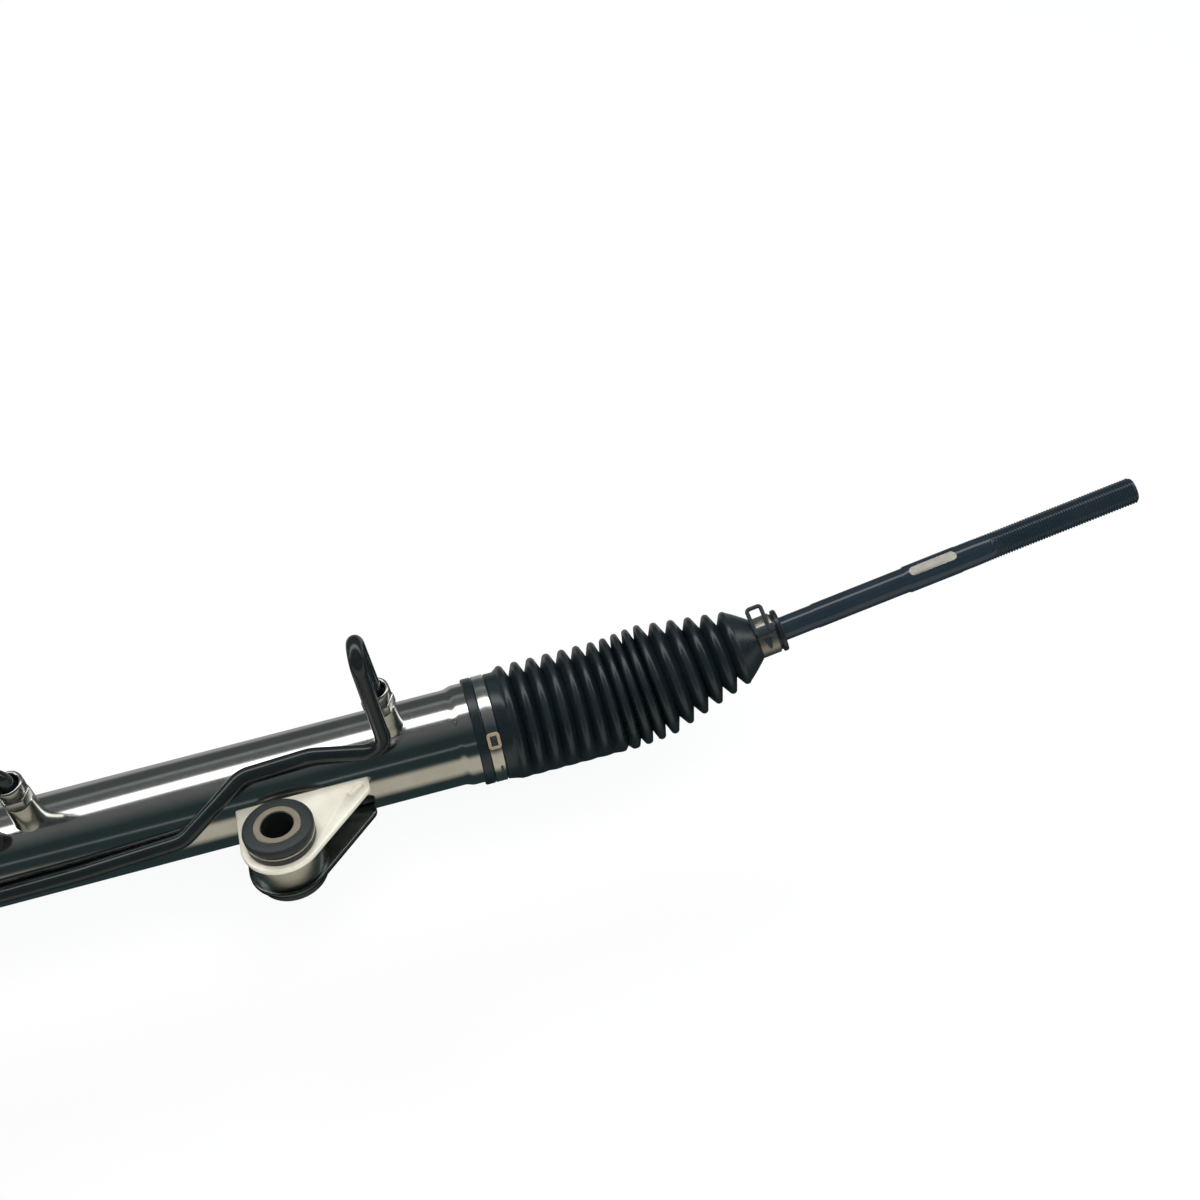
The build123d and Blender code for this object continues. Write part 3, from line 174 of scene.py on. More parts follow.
# Each entry gives a card's first and last direction round the rack, from the front (0) over the
# top (90) to the back (180), and which card hangs there. Between two cards the light blends.
panel_radius = 2.5
panel_length = 10.0
panel_sides = 64
panel_strength = 3.2
black_card = (0.024, 0.04, 0.043)
dim_card = (0.08, 0.09, 0.09)
shaded_card = (0.13, 0.14, 0.14)
thin_strip = (0.25, 0.28, 0.28)
grey_card = (0.38, 0.39, 0.38)
warm_card = (0.55, 0.52, 0.43)
soft_box = (3.2, 3.2, 3.15)
studio_cards = (
    (-180, -178, shaded_card),
    (-170, -150, grey_card),
    (-135, -65, black_card),
    (-47, -15, warm_card),
    (-5, 19, black_card),
    (20, 22, thin_strip),
    (23, 45, black_card),
    (75, 93, shaded_card),
    (98, 112, soft_box),
    (118, 137, shaded_card),
    (141, 146, thin_strip),
    (150, 178, dim_card),
    (179, 180, shaded_card),
)
panel_bm = bmesh.new()
bmesh.ops.create_cone(
    panel_bm,
    cap_ends=True,
    segments=panel_sides,
    radius1=panel_radius,
    radius2=panel_radius,
    depth=panel_length,
    matrix=Matrix.Rotation(pi / 2, 4, "Y"),
)
panel_mesh = bpy.data.meshes.new("studio_panels")
panel_bm.to_mesh(panel_mesh)
panels = bpy.data.objects.new("studio_panels", panel_mesh)
bpy.context.scene.collection.objects.link(panels)
panels.visible_camera = False
panels.visible_diffuse = False
panels.visible_transmission = False
panels.visible_volume_scatter = False
panels.visible_shadow = False
panel_material, nodes, links, output = new_material("studio_panels")
panel_place = nodes.new("ShaderNodeTexCoord")
panel_parts = nodes.new("ShaderNodeSeparateXYZ")
panel_front = nodes.new("ShaderNodeMath")
panel_front.operation = "MULTIPLY"
panel_front.inputs[1].default_value = -1
panel_angle = nodes.new("ShaderNodeMath")
panel_angle.operation = "ARCTAN2"
panel_turn = nodes.new("ShaderNodeMath")
panel_turn.operation = "MULTIPLY_ADD"
panel_turn.inputs[1].default_value = 1 / (2 * pi)
panel_turn.inputs[2].default_value = 0.5
panel_ramp = nodes.new("ShaderNodeValToRGB")
panel_glow = nodes.new("ShaderNodeEmission")
panel_glow.inputs["Strength"].default_value = panel_strength
links.new(panel_place.outputs["Object"], panel_parts.inputs[0])
links.new(panel_parts.outputs["Y"], panel_front.inputs[0])
links.new(panel_parts.outputs["Z"], panel_angle.inputs[0])
links.new(panel_front.outputs[0], panel_angle.inputs[1])
links.new(panel_angle.outputs[0], panel_turn.inputs[0])
links.new(panel_turn.outputs[0], panel_ramp.inputs["Fac"])
links.new(panel_ramp.outputs["Color"], panel_glow.inputs["Color"])
links.new(panel_glow.outputs[0], output.inputs["Surface"])
stops = panel_ramp.color_ramp.elements
card_edges = [(edge, colour) for first, last, colour in studio_cards for edge in (first, last)]
for i, (direction, colour) in enumerate(card_edges):
    position = (direction + 180) / 360
    stop = stops[i] if i < 2 else stops.new(position)
    stop.position = position
    stop.color = [channel / panel_strength for channel in colour] + [1]
panels.data.materials.append(panel_material)

# Cylinder tube: drawn steel, ground and polished outside, flared where the boot fits over it.
# Sizes below are in millimetres, in the model's own frame, until a mesh is finished.
rack_middle = Vector((0, 48.0, -3.0))
rack_way = Vector((1, 0, 0))
tube_radius = 25.0
tube_bore = 21.0
tube_left = -208.0
flare_x = 94.0
flare_radius = 26.2
flare_length = 5.5
flare_steps = 10
flare_lead = 1.5
tube_end = 118.0
tube_steps = 160
merge_distance = 0.001
crease_angle = 38
cloud_span = (0.35, 0.65)
marks_relief = 0.5


def shading_group(name, inputs, outputs):
    """Empty shader group with its sockets, and its two end nodes."""
    group = bpy.data.node_groups.new(name, "ShaderNodeTree")
    for socket_name, kind in inputs:
        group.interface.new_socket(name=socket_name, in_out="INPUT", socket_type=kind)
    for socket_name, kind in outputs:
        group.interface.new_socket(name=socket_name, in_out="OUTPUT", socket_type=kind)
    return group, group.nodes.new("NodeGroupInput"), group.nodes.new("NodeGroupOutput")


def noise_node(nodes, scale, detail, roughness):
    """Noise with its size and its detail."""
    noise = nodes.new("ShaderNodeTexNoise")
    noise.inputs["Scale"].default_value = scale
    noise.inputs["Detail"].default_value = detail
    noise.inputs["Roughness"].default_value = roughness
    return noise


def spread(nodes, from_low, from_high, low=0.0, high=1.0):
    """Node that spreads a mask from one range to another."""
    mapped = nodes.new("ShaderNodeMapRange")
    mapped.inputs["From Min"].default_value = from_low
    mapped.inputs["From Max"].default_value = from_high
    mapped.inputs["To Min"].default_value = low
    mapped.inputs["To Max"].default_value = high
    return mapped


# Tool marks: fine lines across the lay of the work, and cloudy stains
tool_marks, marks_in, marks_out = shading_group(
    "tool_marks",
    (("Lay", "NodeSocketVector"), ("Place", "NodeSocketVector")),
    (("Lines", "NodeSocketFloat"), ("Clouds", "NodeSocketFloat")),
)
fine_lines = noise_node(tool_marks.nodes, 1.0, 5.0, 0.62)
clouds = noise_node(tool_marks.nodes, 55.0, 4.0, 0.58)
tool_marks.links.new(marks_in.outputs["Lay"], fine_lines.inputs["Vector"])
tool_marks.links.new(marks_in.outputs["Place"], clouds.inputs["Vector"])
tool_marks.links.new(fine_lines.outputs["Fac"], marks_out.inputs["Lines"])
tool_marks.links.new(clouds.outputs["Fac"], marks_out.inputs["Clouds"])


def surface(name, colours, colour_span, gloss_span, relief_strength, depth, metallic=0.0):
    """Material of two mixed colours with a varied gloss and a fine relief, and its open masks."""
    material, nodes, links, output = new_material(name)
    place = nodes.new("ShaderNodeTexCoord")
    shade = nodes.new("ShaderNodeMix")
    shade.data_type = "RGBA"
    shade.inputs[6].default_value = (*colours[0], 1)
    shade.inputs[7].default_value = (*colours[1], 1)
    colour_range = spread(nodes, *colour_span)
    gloss = spread(nodes, *gloss_span)
    relief = nodes.new("ShaderNodeBump")
    relief.inputs["Strength"].default_value = relief_strength
    relief.inputs["Distance"].default_value = depth * MM
    shader = nodes.new("ShaderNodeBsdfPrincipled")
    shader.inputs["Metallic"].default_value = metallic
    links.new(colour_range.outputs["Result"], shade.inputs[0])
    links.new(shade.outputs[2], shader.inputs["Base Color"])
    links.new(gloss.outputs["Result"], shader.inputs["Roughness"])
    links.new(relief.outputs["Normal"], shader.inputs["Normal"])
    links.new(shader.outputs[0], output.inputs["Surface"])
    masks = colour_range.inputs["Value"], gloss.inputs["Value"], relief.inputs["Height"]
    return material, nodes, links, place.outputs["Object"], masks


def around_roughness(roughness):
    """Span that spreads a mask to a little less and a little more than a roughness."""
    return 0.3, 0.7, roughness * 0.85, roughness * 1.2


def metal_finish(name, bright, dull, roughness, lay, turn=(0, 0, 0), depth=0.02, metallic=1.0):
    """Worked metal: fine lines square to its lay, and slightly cloudy colour and gloss."""
    material, nodes, links, place, masks = surface(
        name,
        (dull, bright),
        cloud_span,
        around_roughness(roughness),
        marks_relief,
        depth,
        metallic,
    )
    mapping = nodes.new("ShaderNodeMapping")
    mapping.inputs["Rotation"].default_value = turn
    mapping.inputs["Scale"].default_value = lay
    marks = nodes.new("ShaderNodeGroup")
    marks.node_tree = tool_marks
    links.new(place, mapping.inputs["Vector"])
    links.new(mapping.outputs["Vector"], marks.inputs["Lay"])
    links.new(place, marks.inputs["Place"])
    for output_name, mask in zip(("Clouds", "Lines", "Lines"), masks):
        links.new(marks.outputs[output_name], mask)
    return material


def placed(origin, way, across=Vector((0, 1, 0))):
    """Matrix that stands a turned mesh's axis along a direction, at a point."""
    z_way = way.normalized()
    x_way = (across - z_way * across.dot(z_way)).normalized()
    turned_ways = Matrix((x_way, z_way.cross(x_way), z_way)).transposed().to_4x4()
    return Matrix.Translation(origin) @ turned_ways


def turned(profile, place, steps=72, closed=True):
    """Turned shape from (height, radius) points spun about the placed axis."""
    bm = bmesh.new()
    points = [bm.verts.new((radius, 0, height)) for height, radius in profile]
    sides = [bm.edges.new(pair) for pair in zip(points, points[1:])]
    if closed:
        sides.append(bm.edges.new((points[-1], points[0])))
    bmesh.ops.spin(
        bm,
        geom=points + sides,
        cent=(0, 0, 0),
        axis=(0, 0, 1),
        dvec=(0, 0, 0),
        angle=2 * pi,
        steps=steps,
        use_merge=True,
    )
    bmesh.ops.remove_doubles(bm, verts=bm.verts, dist=merge_distance)
    bmesh.ops.recalc_face_normals(bm, faces=bm.faces)
    bmesh.ops.transform(bm, matrix=place, verts=bm.verts)
    return bm


def round_edges(bm, edges, width, segments):
    """Rounds edges with a bevel."""
    bmesh.ops.bevel(
        bm,
        geom=edges,
        offset=width,
        offset_type="OFFSET",
        affect="EDGES",
        segments=segments,
        profile=0.5,
        material=-1,
    )


def ease_edges(bm, width, segments=2, limit=30):
    """Rounds every edge that is sharper than the limit in degrees."""
    sharp = [
        edge for edge in bm.edges if edge.is_manifold and edge.calc_face_angle() > radians(limit)
    ]
    round_edges(bm, sharp, width, segments)


def finish_piece(name, bm, body, slot_name, *materials):
    """Object from a mesh in millimetres: merged, faces outward, riding on its body."""
    bmesh.ops.remove_doubles(bm, verts=bm.verts, dist=merge_distance)
    bmesh.ops.recalc_face_normals(bm, faces=bm.faces)
    bmesh.ops.scale(bm, verts=bm.verts, vec=(MM, MM, MM))
    for face in bm.faces:
        face.smooth = True
    for edge in bm.edges:
        if edge.is_manifold and edge.calc_face_angle() > radians(crease_angle):
            edge.smooth = False
    mesh = bpy.data.meshes.new(name)
    bm.to_mesh(mesh)
    bm.free()
    for material in materials:
        mesh.materials.append(material)
    piece = bpy.data.objects.new(name, mesh)
    bpy.context.scene.collection.objects.link(piece)
    if body:
        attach(piece, body)
    return piece


lines_round_rack = (2600, 70, 70)
polished_tube = metal_finish(
    "polished_tube",
    bright=(0.64, 0.635, 0.62),
    dull=(0.58, 0.575, 0.56),
    roughness=0.13,
    lay=lines_round_rack,
    depth=0.002,
)
flare_start = flare_x - flare_lead - tube_left
tube_length = tube_end - tube_left
tube_profile = [(0.6, tube_radius - 0.4), (1.2, tube_radius)]
for i in range(flare_steps + 1):
    share = i / flare_steps
    rise = (flare_radius - tube_radius) * (1 - cos(pi * share)) / 2
    tube_profile.append((flare_start + flare_length * share, tube_radius + rise))
tube_profile += [
    (tube_length - 1.2, flare_radius),
    (tube_length, tube_radius),
    (tube_length, tube_bore),
    (0.6, tube_bore),
]
tube_place = placed(rack_middle + rack_way * tube_left, rack_way)
tube_bm = turned(tube_profile, tube_place, steps=tube_steps)
tube_piece = finish_piece("drawn_tube", tube_bm, "housing", "polished_steel", polished_tube)
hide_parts("cylinder_tube")


# Cylinder ports: turned steel bosses brazed to the tube, each with the union nut of its line.
# A nut is a hexagon, a groove and a round collar whose deep mouth lets the line through.
boss_top = 40.0
port_lean = radians(84)
port_slant = radians(-3.5)
port_way = Vector((0, -cos(port_lean), sin(port_lean)))
leaning_way = Matrix.Rotation(port_slant, 3, "Y") @ port_way
cylinder_ports = {"outer_port": (63.6, leaning_way), "inner_port": (-116.2, leaning_way)}
straight = Matrix.Identity(4)
nut_corner = 8.545
nut_hexagon_height = 6.0
nut_easing = 0.8
mouth_radius = 5.5
stain_span = (0.38, 0.7)
stain_scale = 42.0
grain_relief = 0.6
valve_port_x = -276.0
long_valve_port = Vector((valve_port_x, 22.0, 42.0))
short_valve_port = Vector((valve_port_x, 38.0, 62.0))
lines_round_upright = (70, 70, 2600)
bright_turned = metal_finish(
    "bright_turned",
    bright=(0.56, 0.56, 0.52),
    dull=(0.44, 0.44, 0.41),
    roughness=0.2,
    lay=lines_round_upright,
    depth=0.003,
)
nut_steel = metal_finish(
    "nut_steel",
    bright=(0.50, 0.50, 0.48),
    dull=(0.36, 0.36, 0.35),
    roughness=0.24,
    lay=(500, 500, 500),
    depth=0.003,
)


def coat_finish(name, colour, worn, roughness, grain, depth):
    """Coat over metal or moulded skin: cloudy colour and gloss over a fine grain."""
    material, nodes, links, place, masks = surface(
        name, (colour, worn), stain_span, around_roughness(roughness), grain_relief, depth
    )
    skin = noise_node(nodes, grain, 3.0, 0.6)
    stain = noise_node(nodes, stain_scale, 4.0, 0.6)
    links.new(place, skin.inputs["Vector"])
    links.new(place, stain.inputs["Vector"])
    for noise, mask in zip((stain, stain, skin), masks):
        links.new(noise.outputs["Fac"], mask)
    return material


# Near-black colour for the mouths of the union nuts and the bores of the bolt sleeves: painted
# shade in those recesses.
inside_painted_shade = coat_finish(
    "inside_painted_shade",
    colour=(0.006, 0.008, 0.008),
    worn=(0.010, 0.011, 0.011),
    roughness=0.7,
    grain=900.0,
    depth=0.02,
)


def join(bm, other):
    """Adds another mesh to bm."""
    spare = bpy.data.meshes.new("spare")
    other.to_mesh(spare)
    other.free()
    bm.from_mesh(spare)
    bpy.data.meshes.remove(spare)


def union_nut(place):
    """Hexagon with rounded corners, under a grooved collar."""
    bm = bmesh.new()
    bmesh.ops.create_cone(
        bm,
        cap_ends=True,
        segments=6,
        radius1=nut_corner,
        radius2=nut_corner,
        depth=nut_hexagon_height,
        matrix=Matrix.Translation((0, 0, nut_hexagon_height / 2)),
    )
    ease_edges(bm, nut_easing, segments=4, limit=50)
    collar = (
        (5.0, 6.2),
        (6.9, 6.2),
        (7.2, 6.9),
        (7.6, 7.4),
        (8.0, 7.6),
        (12.2, 7.6),
        (13.0, 7.45),
        (13.4, 7.0),
        (13.5, 6.4),
        (13.3, 5.9),
        (12.8, mouth_radius),
        (7.5, mouth_radius),
        (7.0, 4.1),
        (5.0, 4.1),
    )
    join(bm, turned(collar, straight, steps=48))
    # Faces inside the collar's mouth take the second material: painted shade.
    for face in bm.faces:
        middle = face.calc_center_median()
        if middle.z > nut_hexagon_height and middle.to_2d().length < mouth_radius + 0.1:
            face.material_index = 1
    bmesh.ops.transform(bm, matrix=place, verts=bm.verts)
    return bm


boss_profile = (
    (tube_radius - 3.4, 9.0),
    (tube_radius - 0.6, 8.6),
    (tube_radius + 1.2, 8.25),
    (tube_radius + 4.0, 8.05),
    (boss_top - 1.2, 7.8),
    (boss_top - 0.4, 7.6),
    (boss_top, 7.1),
    (boss_top, 4.3),
    (tube_radius - 3.4, 4.3),
)
for port_name, (port_x, way) in cylinder_ports.items():
    port_foot = rack_middle + rack_way * port_x
    boss_bm = turned(boss_profile, placed(port_foot, way))
    boss_piece = finish_piece(port_name, boss_bm, "housing", "port_steel", bright_turned)
    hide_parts(f"{port_name}_boss")
    nut_bm = union_nut(placed(port_foot + way * boss_top, way))
    nut_piece = finish_piece(
        f"{port_name}_union", nut_bm, "housing", "port_steel", nut_steel, inside_painted_shade
    )
    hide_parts(f"{port_name}_nut")
valve_nuts_bm = union_nut(placed(long_valve_port, rack_way))
join(valve_nuts_bm, union_nut(placed(short_valve_port, rack_way)))
valve_nuts = finish_piece(
    "valve_unions", valve_nuts_bm, "housing", "port_steel", nut_steel, inside_painted_shade
)
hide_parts("valve_port_nuts")


# Transfer lines: bent steel pipe with a glossy black coat, from the valve to the cylinder ports.
# Their straight runs and bends are those of the pipe bender.
line_radius = 4.0
line_sides = 32
bend_step = radians(5)
socket_depth = 7.5
housing_radius = 31.0
line_rest = tube_radius + line_radius + 0.6
housing_rest = housing_radius + line_radius + 1.5
loop_top = 94.0
short_loop_top = 57.0


def around_rack(x, angle, radius):
    """Point at a radius from the rack's axis. Angle 0 faces the front and 90 faces up."""
    outward = Vector((0, -cos(radians(angle)), sin(radians(angle))))
    return rack_middle + rack_way * x + outward * radius


def push_rim(bm, rim, way):
    """Pushes an open rim of edges along, and gives its new points and edges."""
    pushed = bmesh.ops.extrude_edge_only(bm, edges=rim)["geom"]
    points = [item for item in pushed if isinstance(item, bmesh.types.BMVert)]
    bmesh.ops.translate(bm, verts=points, vec=way)
    return points, [item for item in pushed if isinstance(item, bmesh.types.BMEdge)]


def bent_pipe(route, radii, thickness, sides, step):
    """Pipe pushed out along each straight run and swung round each bend, in steps of an angle."""
    bm = bmesh.new()
    way = (route[1] - route[0]).normalized()
    foot = placed(route[0], way)
    bmesh.ops.create_circle(bm, segments=sides, radius=thickness, matrix=foot)
    rim = list(bm.edges)
    at = route[0]
    for corner, after, radius in zip(route[1:], route[2:], radii):
        next_way = (after - corner).normalized()
        turn = way.angle(next_way)
        reach = radius * tan(turn / 2)
        swing_start = corner - way * reach
        points, rim = push_rim(bm, rim, swing_start - at)
        swing_axis = way.cross(next_way).normalized()
        swung = bmesh.ops.spin(
            bm,
            geom=points + rim,
            cent=swing_start + swing_axis.cross(way) * radius,
            axis=swing_axis,
            dvec=(0, 0, 0),
            angle=turn,
            steps=max(2, round(turn / step)),
            use_merge=False,
        )
        rim = [item for item in swung["geom_last"] if isinstance(item, bmesh.types.BMEdge)]
        at = corner + next_way * reach
        way = next_way
    push_rim(bm, rim, route[-1] - at)
    bmesh.ops.holes_fill(bm, edges=bm.edges, sides=sides)
    return bm


line_coat = coat_finish(
    "line_coat",
    colour=(0.007, 0.0105, 0.0115),
    worn=(0.010, 0.014, 0.015),
    roughness=0.17,
    grain=2400.0,
    depth=0.002,
)
outer_port_x, outer_way = cylinder_ports["outer_port"]
inner_port_x, inner_way = cylinder_ports["inner_port"]
outer_foot = around_rack(outer_port_x, 0, 0)
inner_foot = around_rack(inner_port_x, 0, 0)
into_port = boss_top - socket_depth
long_route = (
    outer_foot + outer_way * into_port,
    outer_foot + outer_way * loop_top,
    Vector((outer_port_x - 7.0, 22.6, loop_top - 4.0)),
    around_rack(59.5, 49, line_rest),
    around_rack(22.0, 64, line_rest),
    around_rack(-13.0, 61, line_rest),
    around_rack(-30.0, 38, line_rest + 0.6),
    around_rack(-48.0, 14, line_rest),
    around_rack(-100.0, 8, line_rest),
    around_rack(-160.0, 6, line_rest),
    around_rack(-181.0, 14, housing_rest),
    long_valve_port + Vector((70.0, -2.0, -8.0)),
    long_valve_port + Vector((50.0, 0, 0)),
    long_valve_port + Vector((-socket_depth, 0, 0)),
)
long_radii = (8.2, 8.2, 12, 25, 14, 25, 16, 60, 60, 30, 20, 25)
short_route = (
    inner_foot + inner_way * into_port,
    inner_foot + inner_way * short_loop_top,
    Vector((-139.0, 42.0, 68.0)),
    Vector((-168.0, 40.0, 74.0)),
    short_valve_port + Vector((58.0, 0, 0)),
    short_valve_port + Vector((-socket_depth, 0, 0)),
)
short_radii = (12, 30, 40, 60)
for line_name, route, radii in (
    ("long", long_route, long_radii),
    ("short", short_route, short_radii),
):
    line_bm = bent_pipe(route, radii, line_radius, line_sides, bend_step)
    line = finish_piece(f"{line_name}_pipe", line_bm, "housing", "line_black", line_coat)
    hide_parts(f"{line_name}_transfer_line")


# Bracket: two steel plates pressed to a teardrop, welded to the tube. Their sheared edges are
# rolled over. The upper one is bright plated. The lower one is coloured dark as painted shade,
# for the shadow that the upper plate casts on it.
plate_roll = 0.9
loose_merge = 0.002
flat_angle = radians(1)
plate_finish = metal_finish(
    "plated_plate",
    bright=(0.90, 0.86, 0.74),
    dull=(0.80, 0.755, 0.63),
    roughness=0.34,
    lay=(160, 160, 160),
    depth=0.0006,
    metallic=0.3,
)
# Dark colour of the lower plate: painted shade, for the shadow under the upper plate.
plate_painted_shade = metal_finish(
    "plate_painted_shade",
    bright=(0.13, 0.155, 0.155),
    dull=(0.09, 0.11, 0.11),
    roughness=0.2,
    lay=(160, 160, 160),
    depth=0.0006,
)


def merged_copy(node):
    """Copy of a CAD node's mesh in millimetres, its loose triangles merged to whole faces."""
    bm = bmesh.new()
    bm.from_mesh(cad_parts[node].data)
    bmesh.ops.scale(bm, verts=bm.verts, vec=(1 / MM, 1 / MM, 1 / MM))
    bmesh.ops.remove_doubles(bm, verts=bm.verts, dist=loose_merge)
    bmesh.ops.dissolve_limit(bm, angle_limit=flat_angle, verts=bm.verts, edges=bm.edges)
    return bm


for plate_name, finish in (("top", plate_finish), ("bottom", plate_painted_shade)):
    plate_bm = merged_copy(f"bracket_{plate_name}_plate")
    ease_edges(plate_bm, plate_roll, segments=3, limit=32)
    plate = finish_piece(f"{plate_name}_plate", plate_bm, "housing", "plated_steel", finish)
    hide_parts(f"bracket_{plate_name}_plate")


# Mounting bush: a pressed steel shell, a rubber body with a disc at each end, and a plain steel
# sleeve for the bolt. The right one sits between the plates, the left one in the housing's ear.
bush_rubber_finish = coat_finish(
    "bush_rubber_skin",
    colour=(0.015, 0.018, 0.019),
    worn=(0.024, 0.027, 0.028),
    roughness=0.5,
    grain=1500.0,
    depth=0.02,
)
sleeve_finish = metal_finish(
    "sleeve_steel",
    bright=(0.50, 0.44, 0.35),
    dull=(0.42, 0.37, 0.29),
    roughness=0.42,
    lay=lines_round_upright,
    depth=0.01,
)
shell_finish = metal_finish(
    "shell_steel",
    bright=(0.62, 0.61, 0.55),
    dull=(0.50, 0.49, 0.44),
    roughness=0.3,
    lay=lines_round_upright,
    depth=0.004,
)
upright = Vector((0, 0, 1))
bush_places = {"right": Vector((0, 0, 0)), "left": Vector((-240.0, 0, 0))}
bore_reach = 8.2
shell_easing = 0.3
rubber_profile = (
    (-18.95, 11.8),
    (-18.95, 16.2),
    (-18.6, 16.9),
    (-18.0, 17.4),
    (-17.2, 17.6),
    (-14.9, 17.5),
    (-14.0, 17.0),
    (-13.7, 16.3),
    (-13.7, 15.6),
    (13.7, 15.6),
    (13.7, 16.3),
    (14.0, 17.0),
    (14.9, 17.5),
    (17.2, 17.6),
    (18.0, 17.4),
    (18.6, 16.9),
    (18.95, 16.2),
    (18.95, 11.8),
)
# Dark rubber ring round the right shell's neck, below the upper disc: painted shade for the shadow
# in that groove.
shade_bead_profile = (
    (8.9, 16.2),
    (8.9, 16.8),
    (9.6, 17.15),
    (11.4, 17.15),
    (12.2, 16.8),
    (12.2, 16.2),
)
sleeve_profile = (
    (-19.3, 8.4),
    (-19.3, 11.4),
    (-18.9, 11.8),
    (18.9, 11.8),
    (19.3, 11.4),
    (19.3, 8.5),
    (18.8, 8.1),
    (-18.8, 8.1),
)
for side_name, middle in bush_places.items():
    bush_place = placed(middle, upright)
    rubber_bm = turned(rubber_profile, bush_place)
    # The right bush also gets the ring of painted shade.
    if side_name == "right":
        join(rubber_bm, turned(shade_bead_profile, bush_place))
    bush_rubber = finish_piece(
        f"{side_name}_bush_body", rubber_bm, "housing", "bush_rubber", bush_rubber_finish
    )
    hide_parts(f"{side_name}_bush_rubber")
    sleeve_bm = turned(sleeve_profile, bush_place)
    # Faces of the bore take the second material: painted shade inside the sleeve.
    for face in sleeve_bm.faces:
        reach = (face.calc_center_median() - middle).to_2d().length
        if reach < bore_reach:
            face.material_index = 1
    bush_sleeve = finish_piece(
        f"{side_name}_bolt_sleeve",
        sleeve_bm,
        "housing",
        "sleeve_steel",
        sleeve_finish,
        inside_painted_shade,
    )
    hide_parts(f"{side_name}_bush_sleeve")
    shell_bm = merged_copy(f"{side_name}_bush_shell")
    ease_edges(shell_bm, shell_easing, limit=40)
    bush_shell = finish_piece(
        f"{side_name}_bush_can", shell_bm, "housing", "plated_steel", shell_finish
    )
    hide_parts(f"{side_name}_bush_shell")


# Housing: cast aluminium round the pinion, the valve and the rack's toothed end. Its solids are
# melted together with small fillets, as a casting's are, and it keeps the skin of the mould.
melt_size = 1.3
weld_reach = 0.01
rub_share = 0.5
rub_passes = 6
cast_greys = ((0.44, 0.445, 0.44), (0.62, 0.62, 0.61))
cast_gloss_span = (0.0, 1.0, 0.42, 0.58)
cast_relief = 0.55
cast_depth = 0.12
cast_metallic = 0.85
skin_scale = 900.0
cloud_scale = 30.0
pit_scale = 620.0
pit_share = 0.5


def dress(material, *nodes):
    """Gives carried-over CAD nodes a finish, through their own material slots."""
    for node in nodes:
        for material_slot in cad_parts[node].material_slots:
            material_slot.material = material


def cast_finish(name):
    """Sand-cast skin: small pits and bumps over a cloudy grey."""
    material, nodes, links, place, masks = surface(
        name, cast_greys, cloud_span, cast_gloss_span, cast_relief, cast_depth, cast_metallic
    )
    skin = noise_node(nodes, skin_scale, 4.0, 0.7)
    stain = noise_node(nodes, cloud_scale, 5.0, 0.62)
    pits = nodes.new("ShaderNodeTexVoronoi")
    pits.inputs["Scale"].default_value = pit_scale
    heap = nodes.new("ShaderNodeMath")
    heap.operation = "MULTIPLY_ADD"
    heap.inputs[1].default_value = pit_share
    for texture in (skin, stain, pits):
        links.new(place, texture.inputs["Vector"])
    links.new(pits.outputs["Distance"], heap.inputs[0])
    links.new(skin.outputs["Fac"], heap.inputs[2])
    sources = stain.outputs["Fac"], stain.outputs["Fac"], heap.outputs[0]
    for source, mask in zip(sources, masks):
        links.new(source, mask)
    return material


cast_skin = cast_finish("cast_aluminium_skin")
casting_bm = merged_copy("pinion_housing")
bmesh.ops.triangulate(casting_bm, faces=casting_bm.faces)
casting = finish_piece("cast_housing", casting_bm, "housing", "cast_aluminium", cast_skin)
welding = casting.modifiers.new("weld", "WELD")
welding.merge_threshold = weld_reach * MM
melting = casting.modifiers.new("melt", "REMESH")
melting.mode = "VOXEL"
melting.voxel_size = melt_size * MM
melting.use_smooth_shade = True
rubbing = casting.modifiers.new("rub", "SMOOTH")
rubbing.factor = rub_share
rubbing.iterations = rub_passes
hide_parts("pinion_housing")


# Steering valve, pinion and rack: ground and turned steel, with bearings, seals and caps round
# them. They keep their solids' meshes, and most of them are hidden in the housing.
lines_round_pinion = (70, 70, 2600)
pinion_turn = (0, radians(-15), 0)
ground_steel = metal_finish(
    "ground_steel",
    bright=(0.60, 0.60, 0.60),
    dull=(0.50, 0.50, 0.50),
    roughness=0.22,
    lay=lines_round_pinion,
    turn=pinion_turn,
    depth=0.005,
)
dark_steel = metal_finish(
    "dark_steel",
    bright=(0.22, 0.22, 0.23),
    dull=(0.14, 0.14, 0.15),
    roughness=0.42,
    lay=(900, 900, 900),
    depth=0.01,
)
turned_aluminium = metal_finish(
    "turned_aluminium",
    bright=(0.72, 0.73, 0.74),
    dull=(0.62, 0.63, 0.64),
    roughness=0.3,
    lay=(900, 120, 900),
    depth=0.01,
)
seal_skin = coat_finish(
    "seal_rubber_skin",
    colour=(0.02, 0.02, 0.022),
    worn=(0.035, 0.035, 0.036),
    roughness=0.5,
    grain=1800.0,
    depth=0.02,
)
cap_plastic = coat_finish(
    "cap_plastic_skin",
    colour=(0.022, 0.023, 0.025),
    worn=(0.034, 0.034, 0.035),
    roughness=0.44,
    grain=1300.0,
    depth=0.05,
)
liner_plastic = coat_finish(
    "liner_plastic_skin",
    colour=(0.70, 0.68, 0.62),
    worn=(0.62, 0.60, 0.54),
    roughness=0.38,
    grain=900.0,
    depth=0.01,
)
ring_plastic = coat_finish(
    "ring_plastic_skin",
    colour=(0.26, 0.22, 0.16),
    worn=(0.20, 0.17, 0.12),
    roughness=0.4,
    grain=900.0,
    depth=0.01,
)
